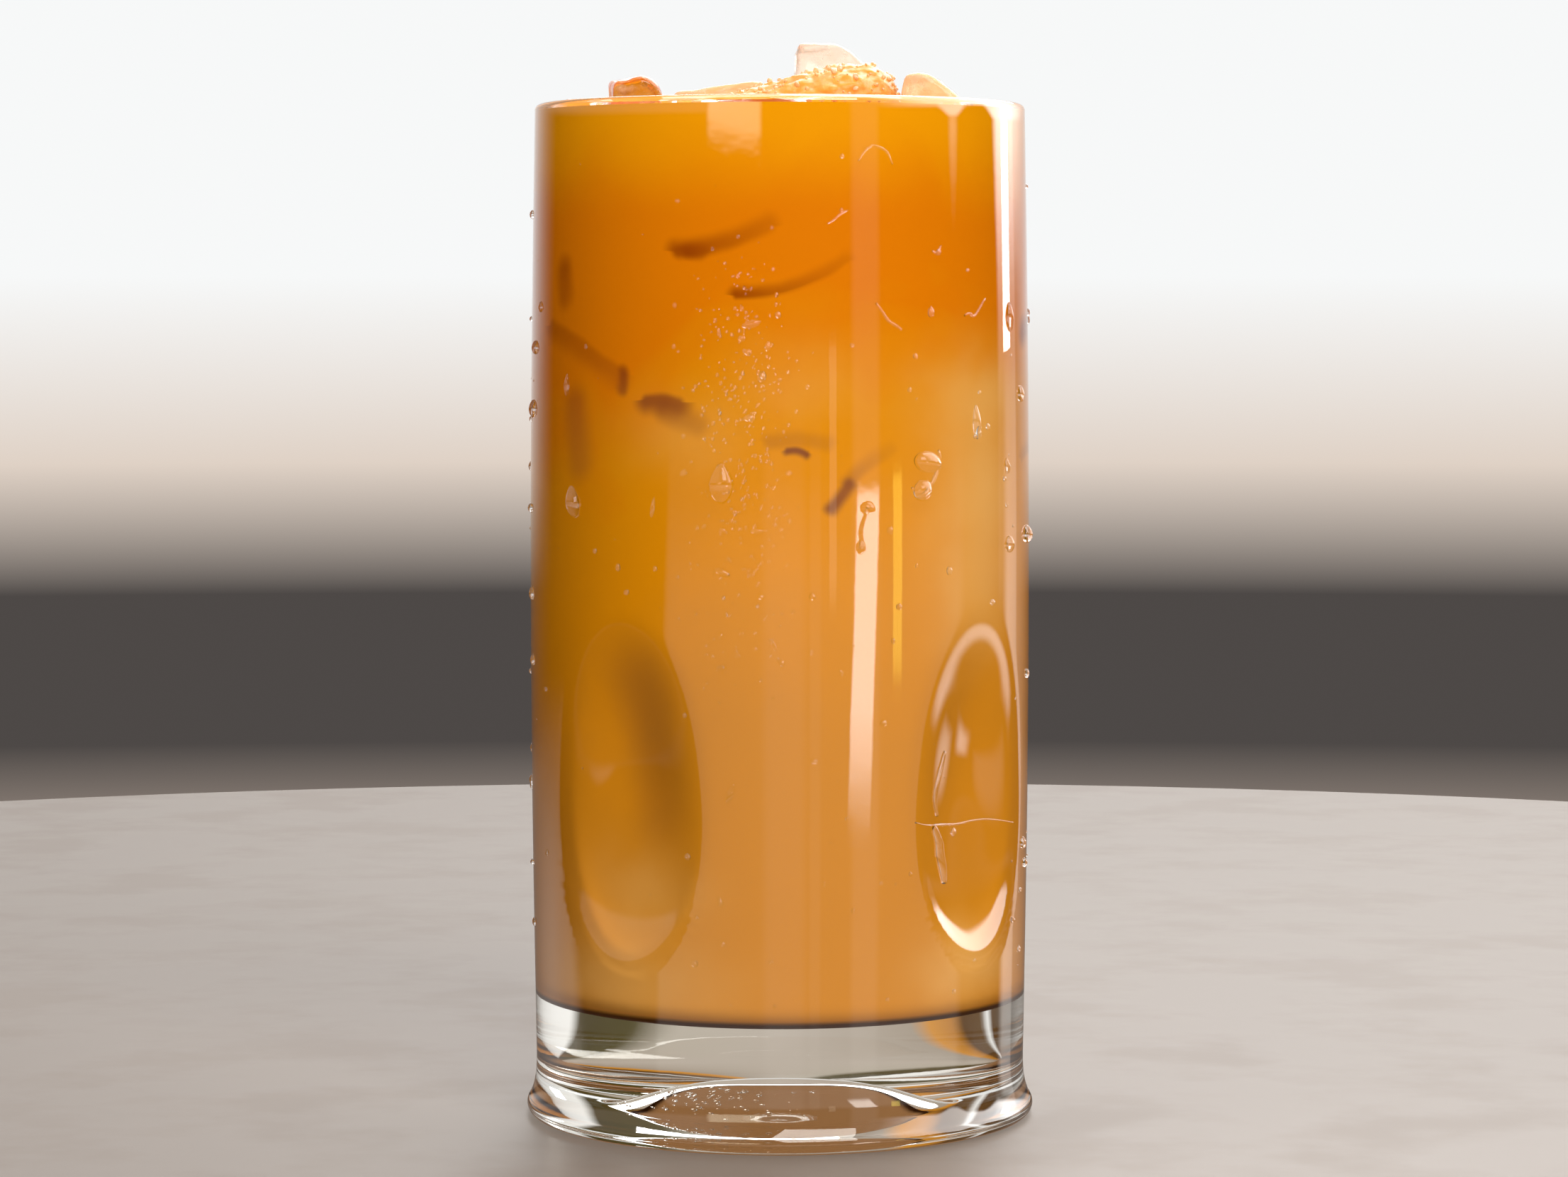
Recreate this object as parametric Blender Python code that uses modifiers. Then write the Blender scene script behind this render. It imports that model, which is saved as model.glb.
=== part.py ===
"""Iced milk tea in a tall, heavy-based tumbler with four thumb dimples.

The glass and the drink are turned profiles whose walls are pressed in at the dimples.
The ice that stands out of the drink is a set of rounded blocks and one crusty lump,
and the drink is cut round each of them. Metres, +Z up, origin at the centre of the foot.
"""

import math
import random

import bmesh
import bpy
from mathutils import Euler, Vector, noise

MM = 0.001

# Tumbler
HEIGHT = 145.0 * MM
RIM_RADIUS = 35.0 * MM
WAIST_RADIUS = 35.2 * MM
WAIST_Z = 9.0 * MM
BELLY = 0.75 * MM  # how far the wall swells between the waist and the rim
FOOT_RADIUS = 36.6 * MM
FOOT_BEAD = 1.6 * MM  # radius of the round edge that the tumbler stands on
WALL_AT_RIM = 1.7 * MM
WALL_AT_FLOOR = 2.8 * MM
FLOOR_Z = 17.0 * MM  # top of the thick glass base
FLOOR_CORNER = 3.0 * MM
PUNT_RADIUS = 17.0 * MM  # hollow under the base
PUNT_DEPTH = 6.5 * MM
PUNT_EDGE = 2.5 * MM

# Thumb dimples
DIMPLES = 4
DIMPLE_FIRST = math.radians(-38.0)
DIMPLE_Z = 49.5 * MM
DIMPLE_HEIGHT = 49.0 * MM
DIMPLE_WIDTH = 27.0 * MM
DIMPLE_DEPTH = 3.6 * MM
DIMPLE_DEPTH_INSIDE = 3.2 * MM
DIMPLE_LOW_EDGE = 1.05  # exponent of the press at its crisp lower edge
DIMPLE_TOP_EDGE = 1.8  # exponent at its soft upper edge

# Drink
LEVEL_Z = 142.8 * MM
GAP = 0.3 * MM  # left between pieces that touch

# Fineness
SEGMENTS = 60
WALL_ROWS = 17
FLARE_ROWS = 3
FOOT_ARC = 5
LIP_ARC = 4
CORNER_ARC = 3
PUNT_ROWS = 5

# Ice blocks: name, place and size in mm, turn in degrees, corner taken off the +X side of the top
# as its width and height in mm, seed
ICE_BLOCKS = (
    ("ice_left", (-20.2, -12.0, 141.5), (6.9, 12.0, 13.4), (3, -2, 6), (2.2, 1.6), 3),
    ("ice_slab", (7.8, 10.6, 143.6), (11.8, 4.2, 21.4), (-4, 0, 5), (4.6, 3.2), 5),
    ("ice_right", (21.8, -5.2, 141.5), (8.6, 10.5, 14.6), (-4, 4, -8), (5.2, 3.0), 7),
    ("ice_wedge", (-7.4, 5.4, 141.1), (13.6, 3.8, 14.2), (-3, -12, -3), (2.0, 1.0), 19),
    ("ice_chip", (-28.9, -4.0, 143.0), (4.0, 5.0, 5.0), (6, 8, 20), (1.2, 1.0), 9),
    ("ice_back_left", (-15.0, 15.6, 139.6), (12.6, 11.0, 13.0), (9, -7, 24), (3.0, 2.0), 11),
    ("ice_back_right", (17.4, 18.2, 139.4), (9.6, 9.4, 13.6), (-8, -6, -40), (2.4, 2.4), 13),
    ("ice_back", (0.6, 22.6, 139.2), (11.0, 8.6, 13.4), (-10, 4, 8), (2.6, 2.0), 15),
    ("ice_front", (-1.4, -22.6, 138.6), (13.0, 9.2, 12.4), (5, -6, -9), (3.2, 2.2), 17),
)
ICE_ROUNDING = 0.9 * MM
ICE_UNEVEN = 0.07  # corner shift as a share of the block's size

# Crusty lump of ice in the middle of the glass
MOUND_PLACE = (1.6, -5.4, 142.6)
MOUND_HALF = (15.4, 8.0, 6.2)
MOUND_LEAN = 0.25  # rise of its top towards +X
MOUND_BLUNT = 0.64  # below 1, its ends are blunter than an ellipsoid's
MOUND_CRUST = 0.8 * MM
MOUND_GRAIN = 3.4 * MM
MOUND_RINGS = 14
MOUND_SEGMENTS = 26

# Looks: colour, roughness, metallic, transmission
GLASS_LOOK = ((0.93, 0.95, 0.94, 1.0), 0.03, 0.0, 1.0)
DRINK_LOOK = ((0.86, 0.40, 0.06, 1.0), 0.25, 0.0, 0.0)
ICE_LOOK = ((0.95, 0.86, 0.76, 1.0), 0.12, 0.0, 0.8)
CRUST_LOOK = ((0.90, 0.55, 0.22, 1.0), 0.4, 0.0, 0.4)


def clear_scene():
    """Removes what the file already holds."""
    for obj in list(bpy.data.objects):
        bpy.data.objects.remove(obj)


def collection(name):
    """A new collection in the scene."""
    made = bpy.data.collections.new(name)
    bpy.context.scene.collection.children.link(made)
    return made


def move_to(obj, home):
    """Puts obj in one collection only."""
    for old in list(obj.users_collection):
        old.objects.unlink(obj)
    home.objects.link(obj)


def material(name, look):
    """A Principled material with its own colour, roughness, metallic and transmission."""
    colour, roughness, metallic, transmission = look
    made = bpy.data.materials.new(name)
    made.use_nodes = True
    made.diffuse_color = colour
    shader = made.node_tree.nodes["Principled BSDF"]
    shader.inputs["Base Color"].default_value = colour
    shader.inputs["Roughness"].default_value = roughness
    shader.inputs["Metallic"].default_value = metallic
    shader.inputs["Transmission Weight"].default_value = transmission
    return made


def smoothstep(x):
    """0 below 0, 1 above 1, and smooth between them."""
    x = min(max(x, 0.0), 1.0)
    return x * x * (3.0 - 2.0 * x)


def outer_radius(z):
    """Outside of the wall above the foot."""
    share = (z - WAIST_Z) / (HEIGHT - WAIST_Z)
    share = min(max(share, 0.0), 1.0)
    return WAIST_RADIUS + (RIM_RADIUS - WAIST_RADIUS) * share + BELLY * math.sin(math.pi * share)


def inner_radius(z):
    """Inside of the wall, which is thickest at the floor."""
    share = (z - FLOOR_Z) / (HEIGHT - FLOOR_Z)
    return outer_radius(z) - WALL_AT_FLOOR - (WALL_AT_RIM - WALL_AT_FLOOR) * share


def arc(centre_r, centre_z, radius, start_deg, end_deg, steps):
    """Points of a round stretch of a profile, both ends included."""
    points = []
    for i in range(steps + 1):
        angle = math.radians(start_deg + (end_deg - start_deg) * i / steps)
        points.append((centre_r + radius * math.cos(angle), centre_z + radius * math.sin(angle)))
    return points


def wall_heights(low, high):
    """Heights of the wall's rows, the same for glass and drink, between two levels."""
    return [low + (high - low) * i / (WALL_ROWS - 1) for i in range(WALL_ROWS)]


def inside_profile(shrink, top_z):
    """From the axis along the floor and up the inner wall, drawn in by shrink."""
    corner_r = inner_radius(FLOOR_Z + FLOOR_CORNER) - shrink - FLOOR_CORNER
    corner_z = FLOOR_Z + shrink + FLOOR_CORNER
    points = [(0.0, FLOOR_Z + shrink), (corner_r * 0.5, FLOOR_Z + shrink)]
    points += arc(corner_r, corner_z, FLOOR_CORNER, -90, 0, CORNER_ARC)[:-1]
    for z in wall_heights(corner_z, top_z):
        points.append((inner_radius(z) - shrink, z))
    return points


def foot_profile():
    """Out to the foot's round edge, under it to the flat ring it stands on, and up into the punt."""
    points = []
    for i in range(1, FLARE_ROWS + 1):
        share = i / (FLARE_ROWS + 1)
        z = WAIST_Z + (2.0 * FOOT_BEAD - WAIST_Z) * share
        points.append((WAIST_RADIUS + (FOOT_RADIUS - FOOT_BEAD * 0.4 - WAIST_RADIUS) * share ** 3, z))
    points += arc(FOOT_RADIUS - FOOT_BEAD, FOOT_BEAD, FOOT_BEAD, 45, -90, FOOT_ARC)
    points.append((PUNT_RADIUS + PUNT_EDGE, 0.0))
    for i in range(1, PUNT_ROWS + 1):
        r = (PUNT_RADIUS + PUNT_EDGE) * (1.0 - i / PUNT_ROWS)
        points.append((r, punt_height(r)))
    return points


def punt_height(r):
    """Height of the hollow under the base: a round cap with a softened edge."""
    cap = max(0.0, 1.0 - (r / PUNT_RADIUS) ** 2)
    return PUNT_DEPTH * cap * smoothstep(0.35 + 0.65 * cap)


def glass_profile():
    """The tumbler's whole section: up the inside, over the lip, down the outside, under the foot."""
    lip = WALL_AT_RIM / 2
    top = HEIGHT - lip
    points = inside_profile(0.0, top)
    points += arc(RIM_RADIUS - lip, top, lip, 180, 0, LIP_ARC)[1:-1]
    points += [(outer_radius(z), z) for z in reversed(wall_heights(WAIST_Z, top))]
    return points + foot_profile()


def drink_profile():
    """The drink's section: up the wall to the level, then in to the axis."""
    level_r = inner_radius(LEVEL_Z) - GAP
    return inside_profile(GAP, LEVEL_Z) + [(level_r * 0.55, LEVEL_Z), (0.0, LEVEL_Z)]


def dimple_press(azimuth, z):
    """Share of the full press, 0 to 1, at a place on the wall."""
    spacing = 2.0 * math.pi / DIMPLES
    turn = (azimuth - DIMPLE_FIRST + spacing / 2) % spacing - spacing / 2
    across = turn * outer_radius(z) / (DIMPLE_WIDTH / 2)
    along = (z - DIMPLE_Z) / (DIMPLE_HEIGHT / 2)
    reach = across * across + along * along
    if reach >= 1.0:
        return 0.0
    edge = DIMPLE_LOW_EDGE + (DIMPLE_TOP_EDGE - DIMPLE_LOW_EDGE) * smoothstep(0.5 + 0.5 * along)
    return (1.0 - reach) ** edge


def press_dimples(mesh):
    """Pushes the wall towards the axis at each dimple, the inner face a little less than the outer."""
    for vertex in mesh.vertices:
        x, y, z = vertex.co
        radius = math.hypot(x, y)
        middle = (outer_radius(z) + inner_radius(z)) / 2
        if radius < middle - WALL_AT_FLOOR:
            continue
        depth = DIMPLE_DEPTH if radius > middle else DIMPLE_DEPTH_INSIDE
        share = 1.0 - depth * dimple_press(math.atan2(y, x), z) / radius
        vertex.co = (x * share, y * share, z)


def turned(name, profile, look, home):
    """A closed solid: the profile swept round Z, then pressed in at the dimples."""
    wire = bpy.data.meshes.new(name + "_profile")
    edges = [(i, i + 1) for i in range(len(profile) - 1)]
    wire.from_pydata([(r, 0.0, z) for r, z in profile], edges, [])
    obj = bpy.data.objects.new(name, wire)
    home.objects.link(obj)
    turn = obj.modifiers.new("turn", "SCREW")
    turn.axis = "Z"
    turn.angle = 2.0 * math.pi
    turn.steps = turn.render_steps = SEGMENTS
    turn.use_merge_vertices = True
    turn.merge_threshold = 0.01 * MM
    obj.data = frozen(obj, name)
    obj.modifiers.clear()
    bpy.data.meshes.remove(wire)
    press_dimples(obj.data)
    obj.data.shade_smooth()
    obj.data.set_sharp_from_angle(angle=math.radians(40))
    obj.data.materials.append(material(name, look))
    return obj


def frozen(obj, name):
    """The evaluated mesh of obj as a mesh of its own, closed at the seam and the poles."""
    bpy.context.view_layer.update()
    evaluated = obj.evaluated_get(bpy.context.evaluated_depsgraph_get())
    mesh = bpy.data.meshes.new_from_object(evaluated)
    mesh.name = name
    work = bmesh.new()
    work.from_mesh(mesh)
    bmesh.ops.remove_doubles(work, verts=work.verts, dist=0.01 * MM)
    work.to_mesh(mesh)
    work.free()
    return mesh


def take_corner(mesh, side, corner):
    """Slices off the top edge on the +X side of a block: corner is its width and height."""
    width, height = corner
    work = bmesh.new()
    work.from_mesh(mesh)
    point = Vector((side.x / 2 - width, 0.0, side.z / 2))
    facing = Vector((height, 0.0, width)).normalized()
    everything = work.verts[:] + work.edges[:] + work.faces[:]
    bmesh.ops.bisect_plane(work, geom=everything, plane_co=point, plane_no=facing, clear_outer=True)
    bmesh.ops.holes_fill(work, edges=work.edges[:])
    bmesh.ops.recalc_face_normals(work, faces=work.faces[:])
    work.to_mesh(mesh)
    work.free()


def ice_mesh(name, size, corner, seed):
    """An uneven block with a corner gone and rounded edges."""
    draw = random.Random(seed)
    bpy.ops.mesh.primitive_cube_add(size=1.0)
    obj = bpy.context.object
    obj.name = name
    side = Vector(size) * MM
    for vertex in obj.data.vertices:
        vertex.co = Vector(side[k] * vertex.co[k] for k in range(3))
    take_corner(obj.data, side, [c * MM for c in corner])
    for vertex in obj.data.vertices:
        shift = Vector(draw.uniform(-ICE_UNEVEN, ICE_UNEVEN) * side[k] / 2 for k in range(3))
        vertex.co = vertex.co + shift
    round_off = obj.modifiers.new("round_off", "BEVEL")
    round_off.width = ICE_ROUNDING
    round_off.segments = 2
    round_off.limit_method = "NONE"
    return obj


def as_cutter(obj, home, half_sizes):
    """A copy of a piece, larger by the gap all round, that the drink is cut with."""
    cutter = obj.copy()
    cutter.data = frozen(obj, obj.name + "_pocket")
    cutter.modifiers.clear()
    cutter.name = obj.name + "_pocket"
    grow = Vector(1.0 + 1.6 * GAP / half for half in half_sizes)
    for vertex in cutter.data.vertices:
        vertex.co = vertex.co * grow
    cutter.hide_render = True
    cutter.display_type = "WIRE"
    home.objects.link(cutter)
    return cutter


def ice_block(name, place, size, turn, corner, seed, home):
    """One ice block, placed by its location and rotation."""
    obj = ice_mesh(name, size, corner, seed)
    obj.location = Vector(place) * MM
    obj.rotation_euler = Euler([math.radians(a) for a in turn])
    obj.data.materials.append(material(name, ICE_LOOK))
    move_to(obj, home)
    return obj


def ice_mound(home):
    """The crusty lump: a flattened ball that rises towards +X, roughened by noise."""
    bpy.ops.mesh.primitive_uv_sphere_add(segments=MOUND_SEGMENTS, ring_count=MOUND_RINGS, radius=1.0)
    obj = bpy.context.object
    obj.name = "ice_mound"
    for vertex in obj.data.vertices:
        unit = vertex.co.copy()
        blunt = Vector((math.copysign(abs(unit.x) ** MOUND_BLUNT, unit.x), unit.y, unit.z))
        body = Vector(blunt[k] * MOUND_HALF[k] * MM for k in range(3))
        body.z += MOUND_LEAN * body.x * smoothstep(unit.z + 0.5)
        crumb = noise.noise(body / MOUND_GRAIN) + 0.5 * noise.noise(body * 2.0 / MOUND_GRAIN)
        vertex.co = body + unit * MOUND_CRUST * crumb
    obj.location = Vector(MOUND_PLACE) * MM
    obj.data.materials.append(material("ice_mound", CRUST_LOOK))
    move_to(obj, home)
    return obj


def cut_pockets(drink, cutters):
    """Takes the space of every piece of ice out of the drink."""
    for cutter in cutters:
        pocket = drink.modifiers.new(cutter.name, "BOOLEAN")
        pocket.operation = "DIFFERENCE"
        pocket.solver = "EXACT"
        pocket.object = cutter


def build():
    """Makes every piece."""
    clear_scene()
    parts = collection("iced_milk_tea")
    pockets = collection("cutters")
    turned("glass", glass_profile(), GLASS_LOOK, parts)
    drink = turned("drink", drink_profile(), DRINK_LOOK, parts)
    cutters = []
    for name, place, size, turn, corner, seed in ICE_BLOCKS:
        block = ice_block(name, place, size, turn, corner, seed, parts)
        cutters.append(as_cutter(block, pockets, [s * MM / 2 for s in size]))
    mound = ice_mound(parts)
    cutters.append(as_cutter(mound, pockets, [s * MM for s in MOUND_HALF]))
    cut_pockets(drink, cutters)


build()
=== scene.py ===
"""Looks of an iced milk tea in a dimpled tumbler, laid out as an add-on.

Each operator makes one piece, or one group of like pieces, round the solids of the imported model,
which is loaded once below. Metres, +Z up, and the side that the camera sees faces -Y.
"""

import math
import random

import bmesh
import bpy
from bpy.props import FloatProperty, FloatVectorProperty, IntProperty, PointerProperty
from mathutils import Euler, Matrix, Vector, bvhtree


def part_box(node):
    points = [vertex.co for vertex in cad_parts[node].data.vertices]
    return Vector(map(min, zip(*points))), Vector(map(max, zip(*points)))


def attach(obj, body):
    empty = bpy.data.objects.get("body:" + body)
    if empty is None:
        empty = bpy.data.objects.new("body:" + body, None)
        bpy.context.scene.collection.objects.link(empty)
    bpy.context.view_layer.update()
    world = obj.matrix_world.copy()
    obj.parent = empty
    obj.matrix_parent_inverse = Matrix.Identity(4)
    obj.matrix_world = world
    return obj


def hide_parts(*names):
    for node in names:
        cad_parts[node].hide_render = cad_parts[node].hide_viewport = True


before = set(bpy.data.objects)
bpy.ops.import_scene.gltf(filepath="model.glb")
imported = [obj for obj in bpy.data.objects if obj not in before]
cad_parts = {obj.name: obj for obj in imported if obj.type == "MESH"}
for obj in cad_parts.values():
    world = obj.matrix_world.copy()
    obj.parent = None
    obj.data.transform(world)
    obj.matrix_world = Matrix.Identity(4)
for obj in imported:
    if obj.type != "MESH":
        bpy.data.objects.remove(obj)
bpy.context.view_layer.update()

bl_info = {
    "name": "Iced milk tea",
    "version": (1, 0, 0),
    "blender": (4, 5, 0),
    "location": "View3D > Sidebar > Milk Tea",
    "description": "Makes an iced milk tea in a dimpled tumbler, with its ice and its beads of water",
    "category": "Add Mesh",
}

MM = 0.001
SAME_PLACE = 0.005 * MM
GLASS_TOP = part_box("glass")[1]
DRINK_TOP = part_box("drink")[1]
ICE_NODES = [name for name in sorted(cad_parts) if name.startswith("ice_")]


def length(name, description, default):
    """A size in metres."""
    return FloatProperty(name=name, description=description, default=default, unit="LENGTH",
                         precision=5)


def angle(name, description, default):
    """An angle, given in degrees."""
    return FloatProperty(name=name, description=description, default=math.radians(default),
                         subtype="ANGLE")


def share(name, description, default, high=1.0):
    """A plain number from 0 up."""
    return FloatProperty(name=name, description=description, default=default, min=0.0, max=high)


def count(name, description, default):
    """How many."""
    return IntProperty(name=name, description=description, default=default, min=1)


def colour(name, description, default):
    """A linear colour."""
    return FloatVectorProperty(name=name, description=description, default=default, size=3,
                               subtype="COLOR", min=0.0, max=1.0)


class TumblerSizes(bpy.types.PropertyGroup):
    """The tumbler's section and its thumb dimples."""

    height: length("Height", "From the table to the lip", GLASS_TOP.z)
    rim_radius: length("Rim radius", "Outside of the lip", 35.0 * MM)
    waist_radius: length("Waist radius", "Outside where the wall meets the foot", 35.2 * MM)
    waist_height: length("Waist height", "Where the foot starts to flare", 9.0 * MM)
    belly: length("Belly", "How far the wall swells between waist and rim", 0.75 * MM)
    foot_radius: length("Foot radius", "Outside of the foot", GLASS_TOP.x)
    foot_bead: length("Foot bead", "Radius of the foot's round edge", 1.6 * MM)
    wall_at_rim: length("Wall at the rim", "Thickness of the glass at the lip", 1.7 * MM)
    wall_at_floor: length("Wall at the floor", "Thickness of the glass low down", 2.8 * MM)
    floor_height: length("Floor", "Top of the thick base", 17.0 * MM)
    floor_corner: length("Floor corner", "Inside radius between floor and wall", 3.0 * MM)
    punt_radius: length("Punt radius", "Hollow under the base", 17.0 * MM)
    punt_depth: length("Punt depth", "Height of that hollow", 6.5 * MM)
    punt_edge: length("Punt edge", "Soft margin round the hollow", 2.5 * MM)
    dimples: count("Dimples", "Thumb dimples round the wall", 4)
    dimple_first: angle("First dimple", "Its azimuth from +X", -38.0)
    dimple_height: length("Dimple height", "Height of the dimples' middle", 50.5 * MM)
    dimple_tall: length("Dimple length", "From top to bottom of a dimple", 48.0 * MM)
    dimple_wide: length("Dimple width", "Across a dimple, along the wall", 27.0 * MM)
    dimple_depth: length("Dimple depth", "Press of the outer face", 3.6 * MM)
    dimple_depth_inside: length("Inner depth", "Press of the inner face", 3.2 * MM)
    dimple_low_edge: share("Low edge", "Exponent of the press at its crisp lower edge", 0.58, 4.0)
    dimple_top_edge: share("Top edge", "Exponent of the press at its soft upper edge", 1.9, 4.0)
    dimple_round: share("Edge round", "How softly the press sets in at its edge", 0.06)
    segments: count("Segments", "Faces round the wall", 248)
    row: length("Row", "Height of a row of faces on the wall", 0.5 * MM)


class TeaLooks(bpy.types.PropertyGroup):
    """The drink's level and colours."""

    level: length("Level", "Surface of the tea", DRINK_TOP.z)
    reach: length("Reach", "How far the tea reaches into the glass wall", 0.05 * MM)
    creep: length("Creep", "How high the tea creeps up the glass", 1.1 * MM)
    creep_width: length("Creep width", "How quickly that rise dies away", 0.8 * MM)
    # Painted backlight: the tea just under the surface made lighter, for light from behind that shines
    # through it
    backlit_top_colour: colour("Top", "Light orange tea just under the surface", (0.93, 0.34, 0.001))
    upper_colour: colour("Upper", "Deep orange tea in the upper third", (0.80, 0.205, 0.0005))
    middle_colour: colour("Middle", "Tea blended with milk", (0.82, 0.285, 0.002))
    lower_colour: colour("Lower", "Milkier tea low down", (0.70, 0.255, 0.010))
    milk_colour: colour("Milk", "Clouds of milk", (0.92, 0.46, 0.12))
    ice_in_tea: colour("Ice in tea", "Ice against the glass in the deep orange tea",
                       (0.30, 0.045, 0.0005))
    # Also the colour of the painted shade in the left dimple
    ice_and_shade_in_milk: colour("Ice in milk", "Ice against the glass in the milky tea",
                        (0.27, 0.075, 0.022))
    # Painted shade for the corner where the tea meets the thick base
    shade_colour: colour("Shade", "Tea in the corner over the thick base", (0.11, 0.035, 0.004))
    under_colour: colour("Underside", "Tea seen through the base", (0.40, 0.23, 0.12))
    # Painted glow: emission on the tea's underside that stands in for light soaking through it
    glow_colour: colour("Glow", "Light that soaks through the tea to its underside",
                        (0.21, 0.10, 0.035))
    drift: length("Drift", "How far currents bend the edges of what shows in the tea", 0.5 * MM)


class IceLooks(bpy.types.PropertyGroup):
    """Finish of the ice that stands out of the drink."""

    grid: length("Grid", "Size of the faces that the ice is remade with", 0.34 * MM)
    melt_scale: length("Melt scale", "Size of the hollows that melting leaves", 4.2 * MM)
    melt_depth: length("Melt depth", "Depth of those hollows", 0.45 * MM)
    rounding: count("Rounding", "Passes of smoothing that round the corners", 5)
    lump_size: length("Lump", "Size of the lumps in the crushed ice", 2.4 * MM)
    lump_relief: length("Lump relief", "How far the lumps stand out", 0.6 * MM)
    crumb_size: length("Crumb", "Size of the crumbs on those lumps", 0.9 * MM)
    crumb_relief: length("Crumb relief", "How far the crumbs stand out", 0.2 * MM)
    clear_colour: colour("Clear ice", "Ice that took no tea", (0.93, 0.84, 0.74))
    tinted_colour: colour("Tinted ice", "Ice that took a little tea", (0.92, 0.62, 0.33))
    soaked_colour: colour("Soaked ice", "Ice that took up tea", (0.66, 0.25, 0.006))
    crust_colour: colour("Crust", "Crushed ice soaked with tea", (0.82, 0.38, 0.065))
    frost_colour: colour("Frost", "Paler grains on the crust", (0.90, 0.58, 0.24))
    grains: count("Grains", "Loose grains on the crust", 210)
    grain_size: length("Grain", "Largest loose grain", 0.85 * MM)


class WaterSizes(bpy.types.PropertyGroup):
    """Water that the cold glass gathers."""

    bury: length("Bury", "How far a bead reaches into the glass", 0.06 * MM)
    rise: share("Rise", "Height of a bead as a share of its width", 0.48)
    rise_most: length("Highest", "Height of the thickest bead", 1.3 * MM)
    beads_round: count("Beads round it", "Large beads on the sides that the camera doesn't see", 70)
    mist: count("Mist", "Fine beads round the whole wall", 640)
    mist_size: length("Mist size", "Largest of the fine beads", 1.1 * MM)
    base_beads: count("Base beads", "Beads in the hollow under the base", 110)


class StageLooks(bpy.types.PropertyGroup):
    """Floor, camera and light."""

    floor_radius: length("Floor radius", "Round pale table", 0.44)
    floor_thickness: length("Floor thickness", "Of that table top", 20.0 * MM)
    floor_edge: length("Floor edge", "Width of its rounded edge", 4.0 * MM)
    floor_colour: colour("Floor", "Plain and warm", (0.21, 0.175, 0.152))
    backdrop_high: colour("Backdrop", "Bright upper part of the backdrop", (0.93, 0.94, 0.94))
    backdrop_warm: colour("Backdrop, warm", "Where the bright part ends", (0.74, 0.64, 0.56))
    backdrop_low: colour("Backdrop, low", "Dim part behind the table", (0.075, 0.066, 0.062))
    # Painted light: the glow of the table in the hollow, which the floor shows through the base
    painted_under_base: colour("Under the base", "Table in the hollow of the base", (0.27, 0.15, 0.07))
    front_table: colour("Front", "Bright surface before the glass that its wall mirrors",
                        (0.85, 0.80, 0.76))
    ambient: share("Ambient", "Even light from all round", 0.15)
    camera_distance: length("Distance", "From the glass's axis to the camera", 0.635)
    camera_height: length("Camera height", "Above the table", 0.117)
    camera_tilt: angle("Tilt", "How far the camera looks down", 3.72)
    camera_side: length("Camera side", "Shift of the camera towards +X", 0.6 * MM)
    lens: FloatProperty(name="Lens", description="Focal length in mm on a 36 mm sensor",
                        default=101.42)


# Modelling helpers


def object_mode():
    """Leaves edit mode if it is on."""
    if bpy.context.object and bpy.context.object.mode != "OBJECT":
        bpy.ops.object.mode_set(mode="OBJECT")


def choose(*objects):
    """Selects these objects only. The first is the active one."""
    object_mode()
    bpy.ops.object.select_all(action="DESELECT")
    for obj in objects:
        obj.select_set(True)
    if objects:
        bpy.context.view_layer.objects.active = objects[0]


def edit(obj):
    """Opens one object in edit mode."""
    choose(obj)
    bpy.ops.object.mode_set(mode="EDIT")


def apply_modifier(obj, kind, **settings):
    """Adds a modifier and applies it."""
    choose(obj)
    made = obj.modifiers.new(kind.lower(), kind)
    for key, value in settings.items():
        setattr(made, key, value)
    bpy.ops.object.modifier_apply(modifier=made.name)


def apply_place(*objects):
    """Moves each object's place, turn and scale into its mesh."""
    choose(*objects)
    bpy.ops.object.transform_apply(location=True, rotation=True, scale=True)


def named(obj, name):
    """Gives an object and its mesh one name."""
    obj.name = name
    obj.data.name = name
    return obj


def joined(name, pieces):
    """One object out of several."""
    choose(*pieces)
    bpy.ops.object.join()
    return named(bpy.context.object, name)


def merge_corners(obj):
    """Merges the corners of a mesh that lie on each other."""
    edit(obj)
    bpy.ops.mesh.select_all(action="SELECT")
    bpy.ops.mesh.remove_doubles(threshold=SAME_PLACE)
    object_mode()


def discard(objects):
    """Deletes the patterns that pieces were copied from."""
    for obj in objects:
        bpy.data.objects.remove(obj)


def copied(name, source):
    """A copy of an object with a mesh of its own and no modifiers, riders or tags."""
    made = bpy.data.objects.new(name, source.data.copy())
    bpy.context.scene.collection.objects.link(made)
    return made


def smooth(obj):
    """Shades a piece smooth."""
    choose(obj)
    bpy.ops.object.shade_smooth()


def finished(obj, look, slot, *nodes):
    """Gives a piece its material and its body, and hides the solids that it stands for. The slot is
    not used.
    """
    obj.data.materials.clear()
    obj.data.materials.append(look)
    rode(obj, slot, *nodes)


def rode(obj, slot, *nodes):
    """Gives a piece its body and hides the solids that it stands for. The slot is not used."""
    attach(obj, "root")
    if nodes:
        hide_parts(*nodes)


def smoothstep(x):
    """0 below 0, 1 above 1, and smooth between them."""
    x = min(max(x, 0.0), 1.0)
    return x * x * (3.0 - 2.0 * x)


# The tumbler's form


# In half lengths of a dimple from its middle
WELL_PAST_THE_DIMPLE = 1.3


def outer_radius(t, z):
    """Outside of the wall above the foot."""
    part = min(max((z - t.waist_height) / (t.height - t.waist_height), 0.0), 1.0)
    straight = t.waist_radius + (t.rim_radius - t.waist_radius) * part
    return straight + t.belly * math.sin(math.pi * part)


def inner_radius(t, z):
    """Inside of the wall, which is thickest at the floor."""
    part = (z - t.floor_height) / (t.height - t.floor_height)
    return outer_radius(t, z) - t.wall_at_floor - (t.wall_at_rim - t.wall_at_floor) * part


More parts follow.
